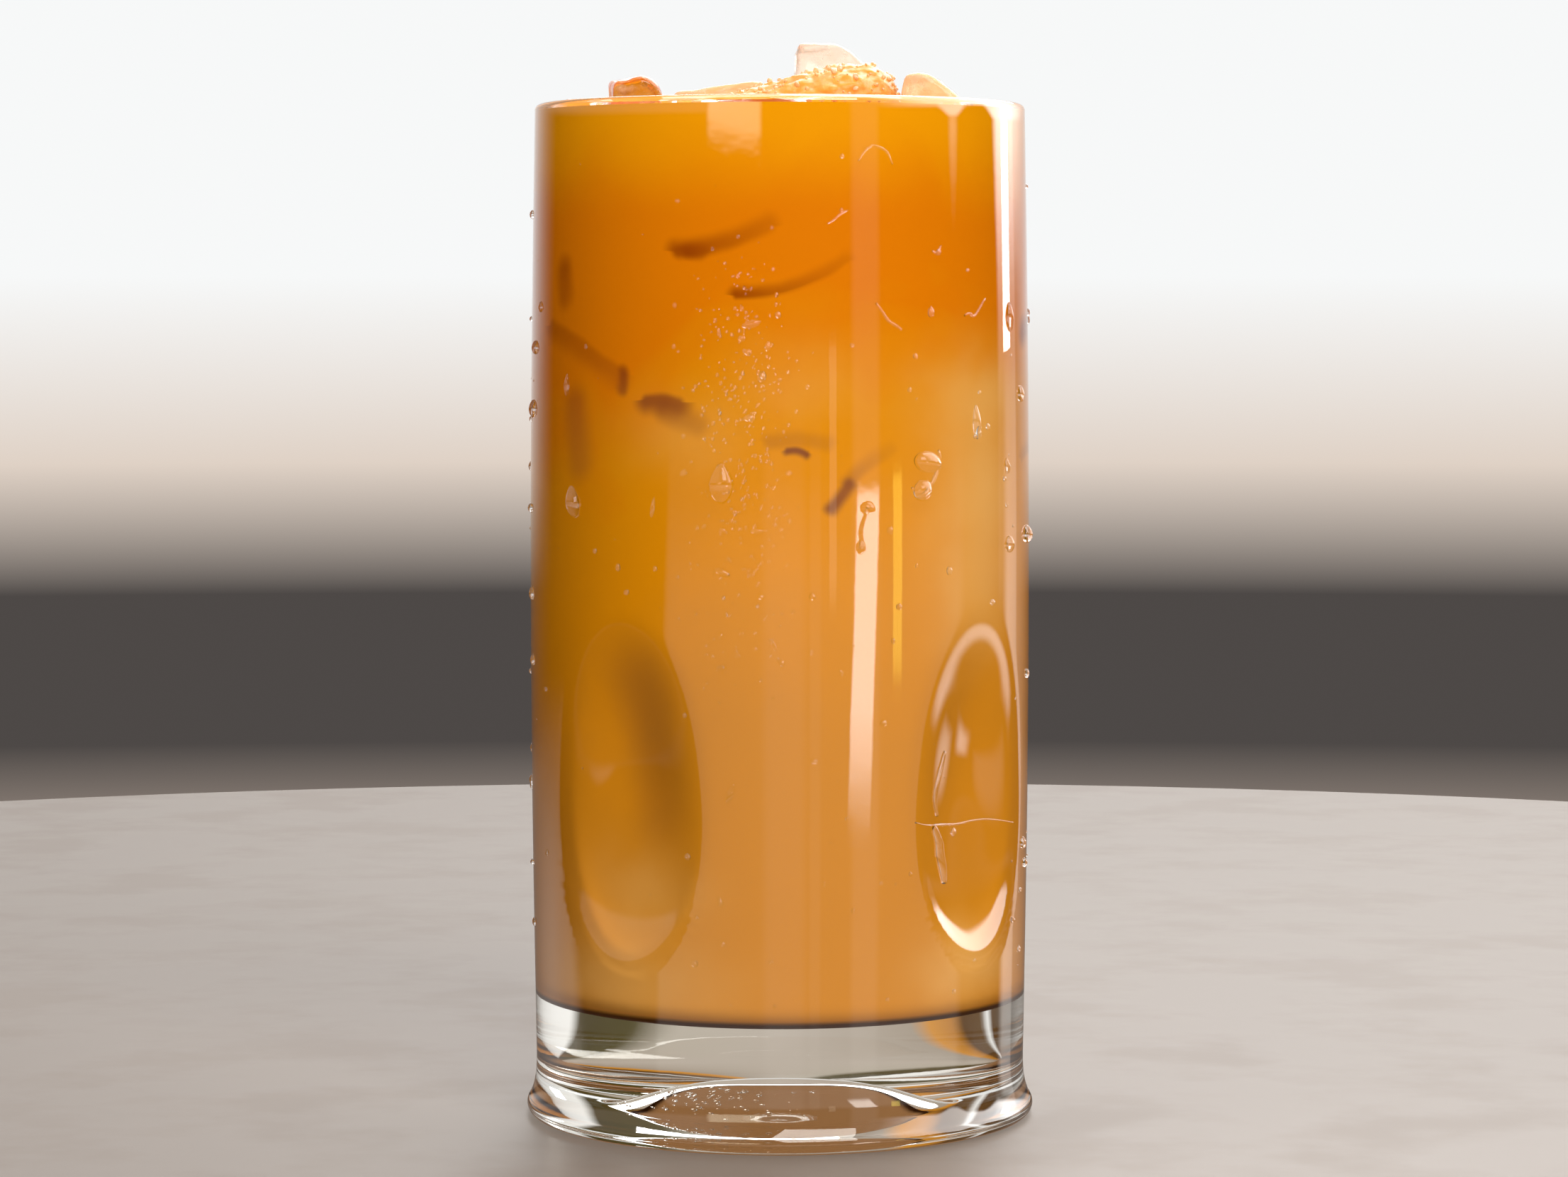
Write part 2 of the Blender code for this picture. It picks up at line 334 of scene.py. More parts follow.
def dimple_press(t, azimuth, z):
    """Share of the full press, 0 to 1, at a place on the wall."""
    along = (z - t.dimple_height) / (t.dimple_tall / 2)
    if abs(along) >= WELL_PAST_THE_DIMPLE:
        return 0.0
    spacing = 2.0 * math.pi / t.dimples
    turn = (azimuth - t.dimple_first + spacing / 2) % spacing - spacing / 2
    across = turn * outer_radius(t, z) / (t.dimple_wide / 2)
    inside = 1.0 - across * across - along * along
    inside = (inside + math.sqrt(inside * inside + t.dimple_round ** 2)) / 2
    if inside < t.dimple_round ** 2:
        return 0.0
    towards_top = smoothstep(0.75 + 0.9 * along)
    return inside ** (t.dimple_low_edge + (t.dimple_top_edge - t.dimple_low_edge) * towards_top)


def punt_height(t, r):
    """Height of the hollow under the base at a distance from the axis."""
    cap = max(0.0, 1.0 - (r / t.punt_radius) ** 3)
    return t.punt_depth * cap * smoothstep(0.5 + 0.5 * cap)


def arc(centre_r, centre_z, radius, start, end, steps):
    """Points of a round stretch of a profile between two angles in degrees."""
    turns = [math.radians(start + (end - start) * i / steps) for i in range(steps + 1)]
    return [(centre_r + radius * math.cos(a), centre_z + radius * math.sin(a)) for a in turns]


def rows(low, high, step):
    """Heights from low to high, about a step apart."""
    steps = max(1, round(abs(high - low) / step))
    return [low + (high - low) * i / steps for i in range(steps + 1)]


def wall_rows(t, low, high):
    """Heights up the wall, close together where the dimples are."""
    end = t.dimple_height + 0.55 * t.dimple_tall
    return rows(low, end, t.row)[:-1] + rows(end, high, 4.0 * t.row)


def inside_profile(t, reach, top):
    """From the axis along the floor and up the inner wall, moved into the glass by reach."""
    corner_z = t.floor_height + t.floor_corner
    corner_r = inner_radius(t, corner_z) - t.floor_corner
    points = [(r, t.floor_height - reach) for r in rows(0.0, corner_r, 5.0 * t.row)]
    points += arc(corner_r, corner_z, t.floor_corner + reach, -90, 0, 8)[1:-1]
    return points + [(inner_radius(t, z) + reach, z) for z in wall_rows(t, corner_z, top)]


def tumbler_profile(t):
    """Up the inside, over the lip, down the outside, round the foot and into the punt."""
    lip = t.wall_at_rim / 2
    top = t.height - lip
    points = inside_profile(t, 0.0, top)
    points += arc(t.rim_radius - lip, top, lip, 180, 0, 12)[1:-1]
    points += [(outer_radius(t, z), z) for z in reversed(wall_rows(t, t.waist_height, top))]
    flare = t.foot_radius - t.foot_bead * 0.4 - t.waist_radius
    for i in range(1, 10):
        z = t.waist_height + (2.0 * t.foot_bead - t.waist_height) * i / 10
        points.append((t.waist_radius + flare * (i / 10) ** 3, z))
    points += arc(t.foot_radius - t.foot_bead, t.foot_bead, t.foot_bead, 45, -90, 14)
    edge = t.punt_radius + t.punt_edge
    return points + [(r, punt_height(t, r)) for r in rows(edge, 0.0, 1.4 * t.row)]


def tea_profile(t, tea):
    """Along the floor, up the wall a little into the glass, and over the surface to the axis."""
    top = tea.level + tea.creep
    points = inside_profile(t, tea.reach, top)
    wall = inner_radius(t, top)
    for away in rows(0.0, 5.0 * tea.creep_width, 0.2 * tea.creep_width):
        points.append((wall - away, tea.level + tea.creep * math.exp(-away / tea.creep_width)))
    return points + [(r, tea.level) for r in rows(points[-1][0], 0.0, 0.6 * MM)[1:]]


def spun(name, profile, segments):
    """A profile drawn by extruding one corner, then spun round Z into a closed skin."""
    choose()
    bpy.ops.mesh.primitive_plane_add(size=MM)
    obj = named(bpy.context.object, name)
    bpy.ops.object.mode_set(mode="EDIT")
    bpy.ops.mesh.merge(type="CENTER")
    bpy.ops.transform.translate(value=(profile[0][0], 0.0, profile[0][1]))
    for (r, z), (next_r, next_z) in zip(profile, profile[1:]):
        step = (next_r - r, 0.0, next_z - z)
        bpy.ops.mesh.extrude_vertices_move(TRANSFORM_OT_translate={"value": step})
    bpy.ops.mesh.select_all(action="SELECT")
    bpy.ops.mesh.spin(steps=segments, angle=2.0 * math.pi, center=(0, 0, 0), axis=(0, 0, 1))
    bpy.ops.mesh.select_all(action="SELECT")
    bpy.ops.mesh.remove_doubles(threshold=SAME_PLACE)
    bpy.ops.mesh.normals_make_consistent(inside=False)
    object_mode()
    smooth(obj)
    return obj


def mark_dimples(obj, t, name, is_pressed):
    """Marks one face of the wall, while it is still round, with how far each dimple presses it."""
    group = obj.vertex_groups.new(name=name)
    for vertex in obj.data.vertices:
        x, y, z = vertex.co
        if is_pressed(math.hypot(x, y), z):
            press = dimple_press(t, math.atan2(y, x), z)
            if press > 0.0:
                group.add([vertex.index], press, "REPLACE")


def press_dimples(obj, name, depth):
    """Pushes a marked face of the wall along its normals."""
    apply_modifier(obj, "DISPLACE", vertex_group=name, strength=depth, mid_level=0.0)
    obj.vertex_groups.remove(obj.vertex_groups[name])


def make_tumbler(t):
    """The tumbler: one closed wall with a thick base, a punt and its dimples."""
    obj = spun("tumbler", tumbler_profile(t), t.segments)

    def middle(z):
        return (outer_radius(t, z) + inner_radius(t, z)) / 2

    mark_dimples(obj, t, "outer face", lambda r, z: r > middle(z))
    mark_dimples(obj, t, "inner face",
                 lambda r, z: middle(z) - t.wall_at_floor < r < middle(z))
    press_dimples(obj, "outer face", -t.dimple_depth)
    press_dimples(obj, "inner face", t.dimple_depth_inside)
    return obj


# The tea and its pockets


# How near the wall the tea's skin counts as its side, and how deep the pockets of the ice reach
WALL_MARGIN = 0.05 * MM
POCKETS_REACH = 15 * MM


def solid_ice(names):
    """Copies of the ice's solids, closed again."""
    pieces = [copied(name + "_copy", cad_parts[name]) for name in names]
    for piece in pieces:
        merge_corners(piece)
    return pieces


def shrunk(piece, margin):
    """Draws a piece in towards its middle by a margin on every side."""
    corners = [Vector(corner) for corner in piece.bound_box]
    middle = (corners[0] + corners[6]) / 2
    half = (corners[6] - corners[0]) / 2
    scale = [1.0 - margin / side for side in half]
    edit(piece)
    bpy.ops.mesh.select_all(action="SELECT")
    bpy.ops.transform.resize(value=scale, center_override=middle)
    object_mode()


def make_tea(t, tea, ice):
    """The drink: a body that creeps up the glass and the ice, with a pocket for each piece."""
    obj = spun("tea", tea_profile(t, tea), t.segments)
    mark_dimples(obj, t, "wall",
                 lambda r, z: r > inner_radius(t, z) - t.wall_at_floor and z < tea.level)
    press_dimples(obj, "wall", -t.dimple_depth_inside)
    blocks = joined("ice_to_cut", solid_ice(ICE_NODES))
    surface = bvhtree.BVHTree.FromObject(blocks, bpy.context.evaluated_depsgraph_get())
    for vertex in obj.data.vertices:
        if vertex.co.z > tea.level - 0.1 * MM:
            near = surface.find_nearest(vertex.co)[3]
            vertex.co.z += 0.8 * tea.creep * math.exp(-near / tea.creep_width)
    bpy.data.objects.remove(blocks)
    cutters = solid_ice(ICE_NODES)
    for cutter in cutters:
        shrunk(cutter, ice.melt_depth)
    cutter = joined("pockets", cutters)
    apply_modifier(obj, "BOOLEAN", operation="DIFFERENCE", solver="MANIFOLD", object=cutter)
    bpy.data.objects.remove(cutter)
    smooth(obj)
    choose(obj)
    bpy.ops.object.shade_smooth_by_angle(angle=math.radians(50))
    return obj


def is_at_glass(face, t, tea):
    """Whether a face of the tea lies against the glass, and not in the open or in a pocket."""
    x, y, z = face.center
    by_wall = math.hypot(x, y) > inner_radius(t, z) - WALL_MARGIN
    in_dimple = abs(face.normal.z) < 0.8 and z < tea.level - POCKETS_REACH
    return by_wall or in_dimple or z < t.floor_height + t.floor_corner


# Ice


def melted_texture(name, size):
    """Soft lumps of one size, for a Displace modifier."""
    made = bpy.data.textures.new(name, "CLOUDS")
    made.noise_scale = size
    made.noise_depth = 1
    return made


def melted_ice(name, source, ice):
    """A piece of ice remade finely from its solid, with melted hollows and rounded edges."""
    piece = named(solid_ice([source])[0], name)
    apply_modifier(piece, "REMESH", mode="VOXEL", voxel_size=ice.grid, use_smooth_shade=True)
    apply_modifier(piece, "SMOOTH", factor=0.5, iterations=ice.rounding)
    apply_modifier(piece, "DISPLACE", texture=melted_texture(name + "_melt", ice.melt_scale),
                   strength=2.0 * ice.melt_depth, mid_level=0.62, texture_coords="LOCAL")
    apply_modifier(piece, "SMOOTH", factor=0.5, iterations=2)
    smooth(piece)
    return piece


def crumble(piece, name, size, relief):
    """Covers a piece with crumbs of one size, whose middles stand out."""
    cells = bpy.data.textures.new(name, "VORONOI")
    cells.noise_scale = size
    apply_modifier(piece, "DISPLACE", texture=cells, strength=-relief, mid_level=0.35,
                   texture_coords="LOCAL")


def crusty_core(name, ice):
    """The lump of crushed ice: relief at two scales over its solid."""
    piece = named(solid_ice(["ice_mound"])[0], name)
    apply_modifier(piece, "REMESH", mode="VOXEL", voxel_size=0.8 * ice.grid, use_smooth_shade=True)
    apply_modifier(piece, "SMOOTH", factor=0.5, iterations=6)
    crumble(piece, name + "_lumps", ice.lump_size, ice.lump_relief)
    crumble(piece, name + "_crumbs", ice.crumb_size, ice.crumb_relief)
    apply_modifier(piece, "SMOOTH", factor=0.5, iterations=2)
    smooth(piece)
    return piece


def scatter_grains(name, core, level, ice):
    """Loose grains of ice on the top of the lump."""
    draw = random.Random(41)
    places = [(p.center.copy(), p.normal.copy()) for p in core.data.polygons
              if p.center.z > level and p.normal.z > -0.1]
    seeds = []
    for i in range(3):
        choose()
        bpy.ops.mesh.primitive_ico_sphere_add(subdivisions=2, radius=0.5)
        seed = bpy.context.object
        bpy.ops.object.mode_set(mode="EDIT")
        bpy.ops.mesh.select_all(action="SELECT")
        bpy.ops.transform.vertex_random(offset=0.12, seed=i)
        object_mode()
        seeds.append(seed)
    grains = []
    for place, normal in draw.sample(places, ice.grains):
        size = ice.grain_size * draw.uniform(0.3, 1.0)
        turn = Euler([draw.uniform(0.0, math.pi) for _ in range(3)]).to_matrix().to_4x4()
        stretch = Matrix.Diagonal((draw.uniform(0.7, 1.3), draw.uniform(0.7, 1.2), 1.0, 1.0 / size))
        grain = copied("grain", draw.choice(seeds))
        grain.matrix_world = Matrix.Translation(place + normal * 0.2 * size) @ turn @ (stretch * size)
        grains.append(grain)
    discard(seeds)
    apply_place(*grains)
    made = joined(name, grains)
    smooth(made)
    return made


# Water on the glass


# Beads seen from the front: azimuth from -Y towards +X in degrees, height, width and length in mm,
# how far the top leans to the right in degrees, and how far it is drawn out to a tail
BEADS = (
    (-12.9, 92.3, 3.5, 5.6, 0, 0.35),
    (34.6, 95.0, 4.6, 3.0, 12, 0.10),
    (33.2, 91.2, 2.8, 3.2, 30, 0.20),
    (49.7, 100.3, 1.4, 4.8, -4, 0.30),
    (19.6, 88.9, 2.2, 1.9, 10, 0.10),
    (18.0, 83.6, 1.4, 2.0, 0, 0.10),
    (24.9, 85.8, 0.9, 1.2, 0, 0.20),
    (-56.1, 105.4, 0.9, 3.2, 4, 0.40),
    (-53.2, 89.2, 2.4, 4.6, -14, 0.35),
    (-10.8, 50.0, 1.1, 3.0, 18, 0.50),
    (-6.2, 113.9, 2.8, 1.1, -12, 0.00),
    (-8.3, 112.0, 1.1, 0.9, 0, 0.10),
    (-6.9, 110.1, 1.2, 0.9, 10, 0.10),
    (-2.6, 110.9, 0.8, 1.5, 8, 0.30),
    (-3.9, 106.8, 1.2, 1.7, 14, 0.30),
    (-6.5, 101.2, 1.7, 1.1, 0, 0.10),
    (-8.3, 116.0, 0.6, 0.8, 0, 0.20),
    (-23.7, 116.5, 0.7, 0.9, 0, 0.50),
    (-23.9, 110.9, 0.6, 0.8, 0, 0.50),
    (-21.5, 98.7, 0.7, 0.8, 0, 0.40),
    (-12.6, 85.9, 1.1, 0.8, 0, 0.10),
    (-4.9, 85.8, 2.0, 0.7, 0, 0.00),
    (-6.2, 79.8, 1.3, 0.7, -10, 0.00),
    (-12.6, 80.2, 2.4, 1.0, 24, 0.10),
    (-4.0, 76.9, 0.9, 0.8, 0, 0.10),
    (-16.7, 86.4, 0.7, 1.0, 30, 0.30),
    (-21.5, 93.7, 0.8, 1.2, 30, 0.30),
    (-1.2, 91.7, 0.7, 0.6, 0, 0.10),
    (-29.0, 88.9, 0.7, 3.0, 10, 0.50),
    (-9.1, 68.8, 0.9, 0.7, 0, 0.10),
    (-12.9, 71.5, 0.8, 0.9, 0, 0.10),
    (-12.9, 67.1, 1.5, 0.8, -20, 0.10),
    (-1.1, 70.2, 0.6, 1.5, -20, 0.40),
    (6.9, 69.3, 0.6, 0.8, 0, 0.10),
    (23.4, 59.4, 1.1, 0.9, 0, 0.10),
    (7.6, 54.4, 1.2, 0.7, 0, 0.00),
    (13.5, 66.5, 0.6, 1.0, -20, 0.30),
    (0.5, 67.9, 0.9, 1.0, 0, 0.10),
    (50.4, 98.8, 1.0, 2.0, 0, 0.30),
    (62.9, 94.0, 1.0, 2.2, -10, 0.30),
    (55.8, 75.1, 0.9, 0.9, 0, 0.10),
    (64.1, 83.0, 1.6, 2.4, 0, 0.20),
    (78.0, 84.0, 2.0, 2.6, 0, 0.20),
    (72.0, 104.0, 1.3, 2.4, 0, 0.30),
    (76.0, 40.0, 1.2, 1.8, 0, 0.20),
    (-13.2, 35.0, 0.8, 1.5, -20, 0.40),
    (-12.6, 29.2, 0.6, 0.8, -20, 0.30),
    (9.9, 37.6, 0.5, 0.7, 0, 0.10),
    (68.1, 29.5, 0.9, 0.9, 0, 0.10),
    (64.9, 114.8, 1.3, 4.2, -4, 0.30),
    (-78.3, 101.8, 1.5, 2.6, 0, 0.20),
    (-71.3, 116.2, 0.8, 1.6, 0, 0.20),
    (-76.0, 110.5, 1.3, 2.0, 0, 0.20),
    (-80.0, 75.5, 1.0, 2.0, 0, 0.20),
    (-79.0, 66.0, 0.9, 1.6, 0, 0.20),
    (37.9, 123.7, 0.8, 1.0, 20, 0.30),
)

# Thin runs of water: radius in mm, then azimuth and height in degrees and mm at each bend
RUNS = (
    (0.34, ((19.6, 88.9), (18.4, 87.0), (17.8, 85.4), (18.3, 84.2), (18.0, 83.4))),
    (0.22, ((17.7, 136.0), (19.0, 137.4), (20.8, 138.1), (22.8, 137.9), (24.9, 137.2), (25.9, 135.6))),
    (0.24, ((21.7, 116.7), (23.2, 115.6), (24.6, 114.2), (26.6, 113.7), (27.9, 113.1))),
    (0.20, ((10.5, 127.5), (12.0, 127.9), (13.6, 129.0), (15.3, 129.3))),
    (0.20, ((45.8, 115.0), (47.6, 115.6), (48.6, 114.7), (50.2, 115.4), (53.4, 117.4))),
    (0.18, ((36.2, 123.9), (37.4, 123.1), (38.6, 124.6))),
    (0.30, ((37.6, 96.6), (38.4, 95.2), (36.6, 92.8), (33.8, 90.6), (31.4, 90.2), (30.4, 91.6))),
    (0.45, ((43.4, 54.6), (42.0, 52.6), (41.2, 51.7), (39.6, 49.6), (39.0, 47.9), (40.4, 45.8))),
    (0.75, ((38.9, 44.4), (41.4, 42.3), (41.2, 40.4), (42.9, 38.0), (43.0, 36.2))),
    (0.16, ((31.6, 45.4), (36.0, 44.6), (42.6, 44.5), (49.5, 44.0), (56.0, 44.3), (63.0, 44.2),
            (70.5, 43.2))),
)


def wall_radius(t, azimuth, z):
    """Outside of the wall at a place, with its dimples. The azimuth is from +X."""
    return outer_radius(t, z) - t.dimple_depth * dimple_press(t, azimuth, z)


def on_wall(t, from_front, z):
    """A place on the outer face. The azimuth is from -Y towards +X, in degrees."""
    azimuth = math.radians(from_front) - math.pi / 2
    radius = wall_radius(t, azimuth, z)
    return Vector((radius * math.cos(azimuth), radius * math.sin(azimuth), z))


def bead_shape(tail, segments, rings):
    """A ball one across whose upper half is drawn out to a tail."""
    choose()
    bpy.ops.mesh.primitive_uv_sphere_add(segments=segments, ring_count=rings, radius=0.5)
    obj = bpy.context.object
    heights = sorted({round(v.co.z, 5) for v in obj.data.vertices if v.co.z > 0.01})
    bpy.ops.object.mode_set(mode="EDIT")
    for height in heights[:-1]:
        bpy.ops.mesh.select_all(action="DESELECT")
        mesh = bmesh.from_edit_mesh(obj.data)
        for vertex in mesh.verts:
            vertex.select_set(abs(vertex.co.z - height) < 0.001)
        mesh.select_flush_mode()
        narrow = 1.0 - tail * height / 0.5
        bpy.ops.transform.resize(value=(narrow, narrow, 1.0), center_override=(0, 0, height))
    object_mode()
    return obj


def set_bead(t, water, shape, from_front, z, width, tall, lean):
    """A copy of a bead's shape at its place on the wall."""
    rise = min(water.rise * min(width, tall), water.rise_most)
    bead = copied("bead", shape)
    turn = Euler((0.0, math.radians(lean), math.radians(from_front))).to_matrix().to_4x4()
    size = Matrix.Diagonal((width, 2.0 * rise, tall, 1.0))
    bead.matrix_world = Matrix.Translation(on_wall(t, from_front, z)) @ turn @ size
    return bead


def seat(obj, t, water):
    """Brings the backs of beads out to just inside the glass's outer face."""
    for vertex in obj.data.vertices:
        x, y, z = vertex.co
        radius = math.hypot(x, y)
        least = wall_radius(t, math.atan2(y, x), z) - water.bury
        if radius < least:
            vertex.co = (x * least / radius, y * least / radius, z)
    edit(obj)
    bpy.ops.mesh.select_all(action="SELECT")
    bpy.ops.mesh.normals_make_consistent(inside=False)
    object_mode()
    smooth(obj)


def make_beads(t, water):
    """The large beads and thin runs of water on the side that the camera sees, and some round it."""
    draw = random.Random(7)
    tails = (0.0, 0.1, 0.2, 0.3, 0.35, 0.4, 0.5)
    shapes = {tail: bead_shape(tail, 18, 14) for tail in tails}
    beads = []
    for from_front, z, width, tall, lean, tail in BEADS:
        beads.append(set_bead(t, water, shapes[tail], from_front, z * MM, width * MM, tall * MM,
                              lean))
    for _ in range(water.beads_round):
        width = draw.choice((0.8, 0.9, 1.1, 1.4, 2.2)) * draw.uniform(0.7, 1.2) * MM
        tall = width * draw.uniform(0.9, 2.0)
        where = (draw.uniform(85.0, 278.0), draw.uniform(24.0, 134.0) * MM)
        shape = shapes[draw.choice(tails)]
        beads.append(set_bead(t, water, shape, *where, width, tall, draw.uniform(-15, 15)))
    apply_place(*beads)
    discard(shapes.values())
    runs = [make_run(t, radius * MM, bends) for radius, bends in RUNS]
    made = joined("water_beads", beads + runs)
    seat(made, t, water)
    return made


def make_run(t, radius, bends):
    """A thin run of water: a round line along the wall, thinner at its ends."""
    choose()
    bpy.ops.curve.primitive_nurbs_path_add()
    obj = bpy.context.object
    obj.data.splines.clear()
    line = obj.data.splines.new("NURBS")
    line.points.add(len(bends) - 1)
    for i, (from_front, z) in enumerate(bends):
        line.points[i].co = (*on_wall(t, from_front, z * MM), 1.0)
        line.points[i].radius = 0.35 + 0.65 * math.sin(math.pi * (i + 0.5) / len(bends))
    line.use_endpoint_u = True
    line.order_u = 3
    line.resolution_u = 8
    obj.data.bevel_depth = radius
    obj.data.bevel_resolution = 3
    obj.data.use_fill_caps = True
    bpy.ops.object.convert(target="MESH")
    merge_corners(obj)
    return obj


def make_mist(t, water):
    """Fine beads: a band on the front, and a thin scatter all round."""
    draw = random.Random(23)
    shapes = [bead_shape(tail, 8, 6) for tail in (0.0, 0.3)]
    beads = []
    for i in range(water.mist):
        if i % 3:
            where = (draw.gauss(-8.0, 6.0), draw.triangular(60.0, 128.0, 104.0) * MM)
            size = draw.uniform(0.18, 0.5) * water.mist_size
        else:
            where = (draw.uniform(-180.0, 180.0), draw.uniform(20.0, 138.0) * MM)
            size = draw.uniform(0.2, 1.0) ** 2 * water.mist_size
        tall = size * draw.uniform(0.8, 1.5)
        beads.append(set_bead(t, water, draw.choice(shapes), *where, size, tall, 0.0))
    discard(shapes)
    apply_place(*beads)
    made = joined("water_mist", beads)
    seat(made, t, water)
    return made


def make_base_beads(t, water):
    """Beads that hang in the hollow under the base, most of them to the front left."""
    draw = random.Random(31)
    shape = bead_shape(0.0, 10, 8)
    beads = []
    for _ in range(water.base_beads):
        turn = math.radians(draw.gauss(-135.0, 32.0))
        r = t.punt_radius * draw.uniform(0.45, 0.93)
        size = min(draw.uniform(0.3, 0.9) ** 2 * MM, 2.0 * punt_height(t, r))
        bead = copied("bead", shape)
        place = Vector((r * math.cos(turn), r * math.sin(turn), punt_height(t, r)))
        bead.matrix_world = Matrix.Translation(place) @ Matrix.Diagonal((size, size, 0.6 * size, 1.0))
        beads.append(bead)
    bpy.data.objects.remove(shape)
    apply_place(*beads)
    made = joined("base_beads", beads)
    smooth(made)
    return made


# Shader helpers


def add(tree, kind, inputs=None, **settings):
    """A node with its settings, its inputs set to values or wired to other nodes' outputs."""
    made = tree.nodes.new(kind)
    for key, value in settings.items():
        setattr(made, key, value)
    for key, value in (inputs or {}).items():
        if isinstance(value, bpy.types.NodeSocket):
            tree.links.new(value, made.inputs[key])
        else:
            made.inputs[key].default_value = value
    return made


def maths(tree, operation, *terms):
    """A sum on numbers."""
    return add(tree, "ShaderNodeMath", dict(enumerate(terms)), operation=operation).outputs[0]


def vectors(tree, operation, *terms):
    """A sum on vectors."""
    made = add(tree, "ShaderNodeVectorMath", dict(enumerate(terms)), operation=operation)
    is_number = operation in ("LENGTH", "DOT_PRODUCT", "DISTANCE")
    return made.outputs["Value" if is_number else "Vector"]


def ranged(tree, value, low, high, to_low=0.0, to_high=1.0):
    """A number eased from one range into another."""
    inputs = {"Value": value, "From Min": low, "From Max": high, "To Min": to_low, "To Max": to_high}
    made = add(tree, "ShaderNodeMapRange", inputs, interpolation_type="SMOOTHSTEP")
    return made.outputs["Result"]


def apart(tree, first, second):
    """How far two numbers are apart."""
    return maths(tree, "ABSOLUTE", maths(tree, "SUBTRACT", first, second))


def product(tree, first, *more):
    """Numbers multiplied."""
    for term in more:
        first = maths(tree, "MULTIPLY", first, term)
    return first


def grey(tree, value):
    """A number in all three parts of a colour or a vector."""
    return add(tree, "ShaderNodeCombineXYZ", {"X": value, "Y": value, "Z": value}).outputs[0]


def ranged_plain(tree, value, low, high):
    """A number taken straight from one range to 0 to 1."""
    inputs = {"Value": value, "From Min": low, "From Max": high}
    return add(tree, "ShaderNodeMapRange", inputs).outputs["Result"]


def mixed(tree, how_much, first, second, how="MIX"):
    """Two colours mixed."""
    first = (*first, 1.0) if len_of(first) == 3 else first
    second = (*second, 1.0) if len_of(second) == 3 else second
    made = add(tree, "ShaderNodeMix", {0: how_much, 6: first, 7: second}, data_type="RGBA",
               blend_type=how)
    return made.outputs[2]


def added(tree, first, second):
    """Two colours added up."""
    return mixed(tree, 1.0, first, second, "ADD")


def len_of(value):
    """Length of a plain colour, or 0 for a socket."""
    return 0 if isinstance(value, bpy.types.NodeSocket) else len(value)


def ramp(tree, position, stops):
    """Colours along a number from 0 to 1."""
    made = add(tree, "ShaderNodeValToRGB", {"Fac": position})
    elements = made.color_ramp.elements
    elements[0].position, elements[-1].position = stops[0][0], stops[-1][0]
    elements[0].color, elements[-1].color = (*stops[0][1], 1.0), (*stops[-1][1], 1.0)
    for place, hue in stops[1:-1]:
        elements.new(place).color = (*hue, 1.0)
    return made.outputs["Color"]


def place_of(tree):
    """The point on the piece, in metres."""
    return add(tree, "ShaderNodeTexCoord").outputs["Object"]


def noise(tree, place, size, detail=2.0, roughness=0.5):
    """Cloudy noise whose lumps have a size in metres."""
    inputs = {"Vector": place, "Scale": 1.0 / size, "Detail": detail, "Roughness": roughness}
    return add(tree, "ShaderNodeTexNoise", inputs).outputs["Fac"]


def new_group(name, inputs, outputs):
    """An empty node group with its sockets: its tree, what goes in and what comes out."""
    tree = bpy.data.node_groups.new(name, "ShaderNodeTree")
    for socket, kind, value in inputs:
        made = tree.interface.new_socket(name=socket, in_out="INPUT", socket_type=kind)
        made.default_value = value
    for socket, kind in outputs:
        tree.interface.new_socket(name=socket, in_out="OUTPUT", socket_type=kind)
    return tree, add(tree, "NodeGroupInput").outputs, add(tree, "NodeGroupOutput").inputs


def use_group(tree, name, inputs):
    """A group placed in a material."""
    return add(tree, "ShaderNodeGroup", inputs, node_tree=bpy.data.node_groups[name]).outputs


def make_ripples():
    """Group: the height of melted or flowing surfaces, broad waves with fine ones on them."""
    tree, given, out = new_group(
        "melt_ripples",
        [("Place", "NodeSocketVector", (0, 0, 0)), ("Size", "NodeSocketFloat", 0.004)],
        [("Height", "NodeSocketFloat")],
    )
    scaled = vectors(tree, "DIVIDE", given["Place"], grey(tree, given["Size"]))
    broad = add(tree, "ShaderNodeTexNoise", {"Vector": scaled, "Scale": 1.0, "Detail": 1.0})
    fine = add(tree, "ShaderNodeTexNoise", {"Vector": scaled, "Scale": 4.0, "Detail": 2.0})
    height = maths(tree, "MULTIPLY_ADD", fine.outputs["Fac"], 0.25, broad.outputs["Fac"])
    tree.links.new(height, out["Height"])


def make_haze():
    """Group: a soft film on hard surfaces, such as breath, wiped water or fine dust."""
    tree, given, out = new_group(
        "surface_haze",
        [("Place", "NodeSocketVector", (0, 0, 0)), ("Size", "NodeSocketFloat", 0.02),
         ("Least", "NodeSocketFloat", 0.0), ("Most", "NodeSocketFloat", 0.1)],
        [("Roughness", "NodeSocketFloat"), ("Mask", "NodeSocketFloat")],
    )
    scaled = vectors(tree, "DIVIDE", given["Place"], grey(tree, given["Size"]))
    cloud = add(tree, "ShaderNodeTexNoise", {"Vector": scaled, "Scale": 1.0, "Detail": 4.0})
    mask = ranged(tree, cloud.outputs["Fac"], 0.42, 0.68)
    rough = add(tree, "ShaderNodeMapRange", {"Value": mask, "To Min": given["Least"],
                                             "To Max": given["Most"]})
    tree.links.new(mask, out["Mask"])
    tree.links.new(rough.outputs["Result"], out["Roughness"])


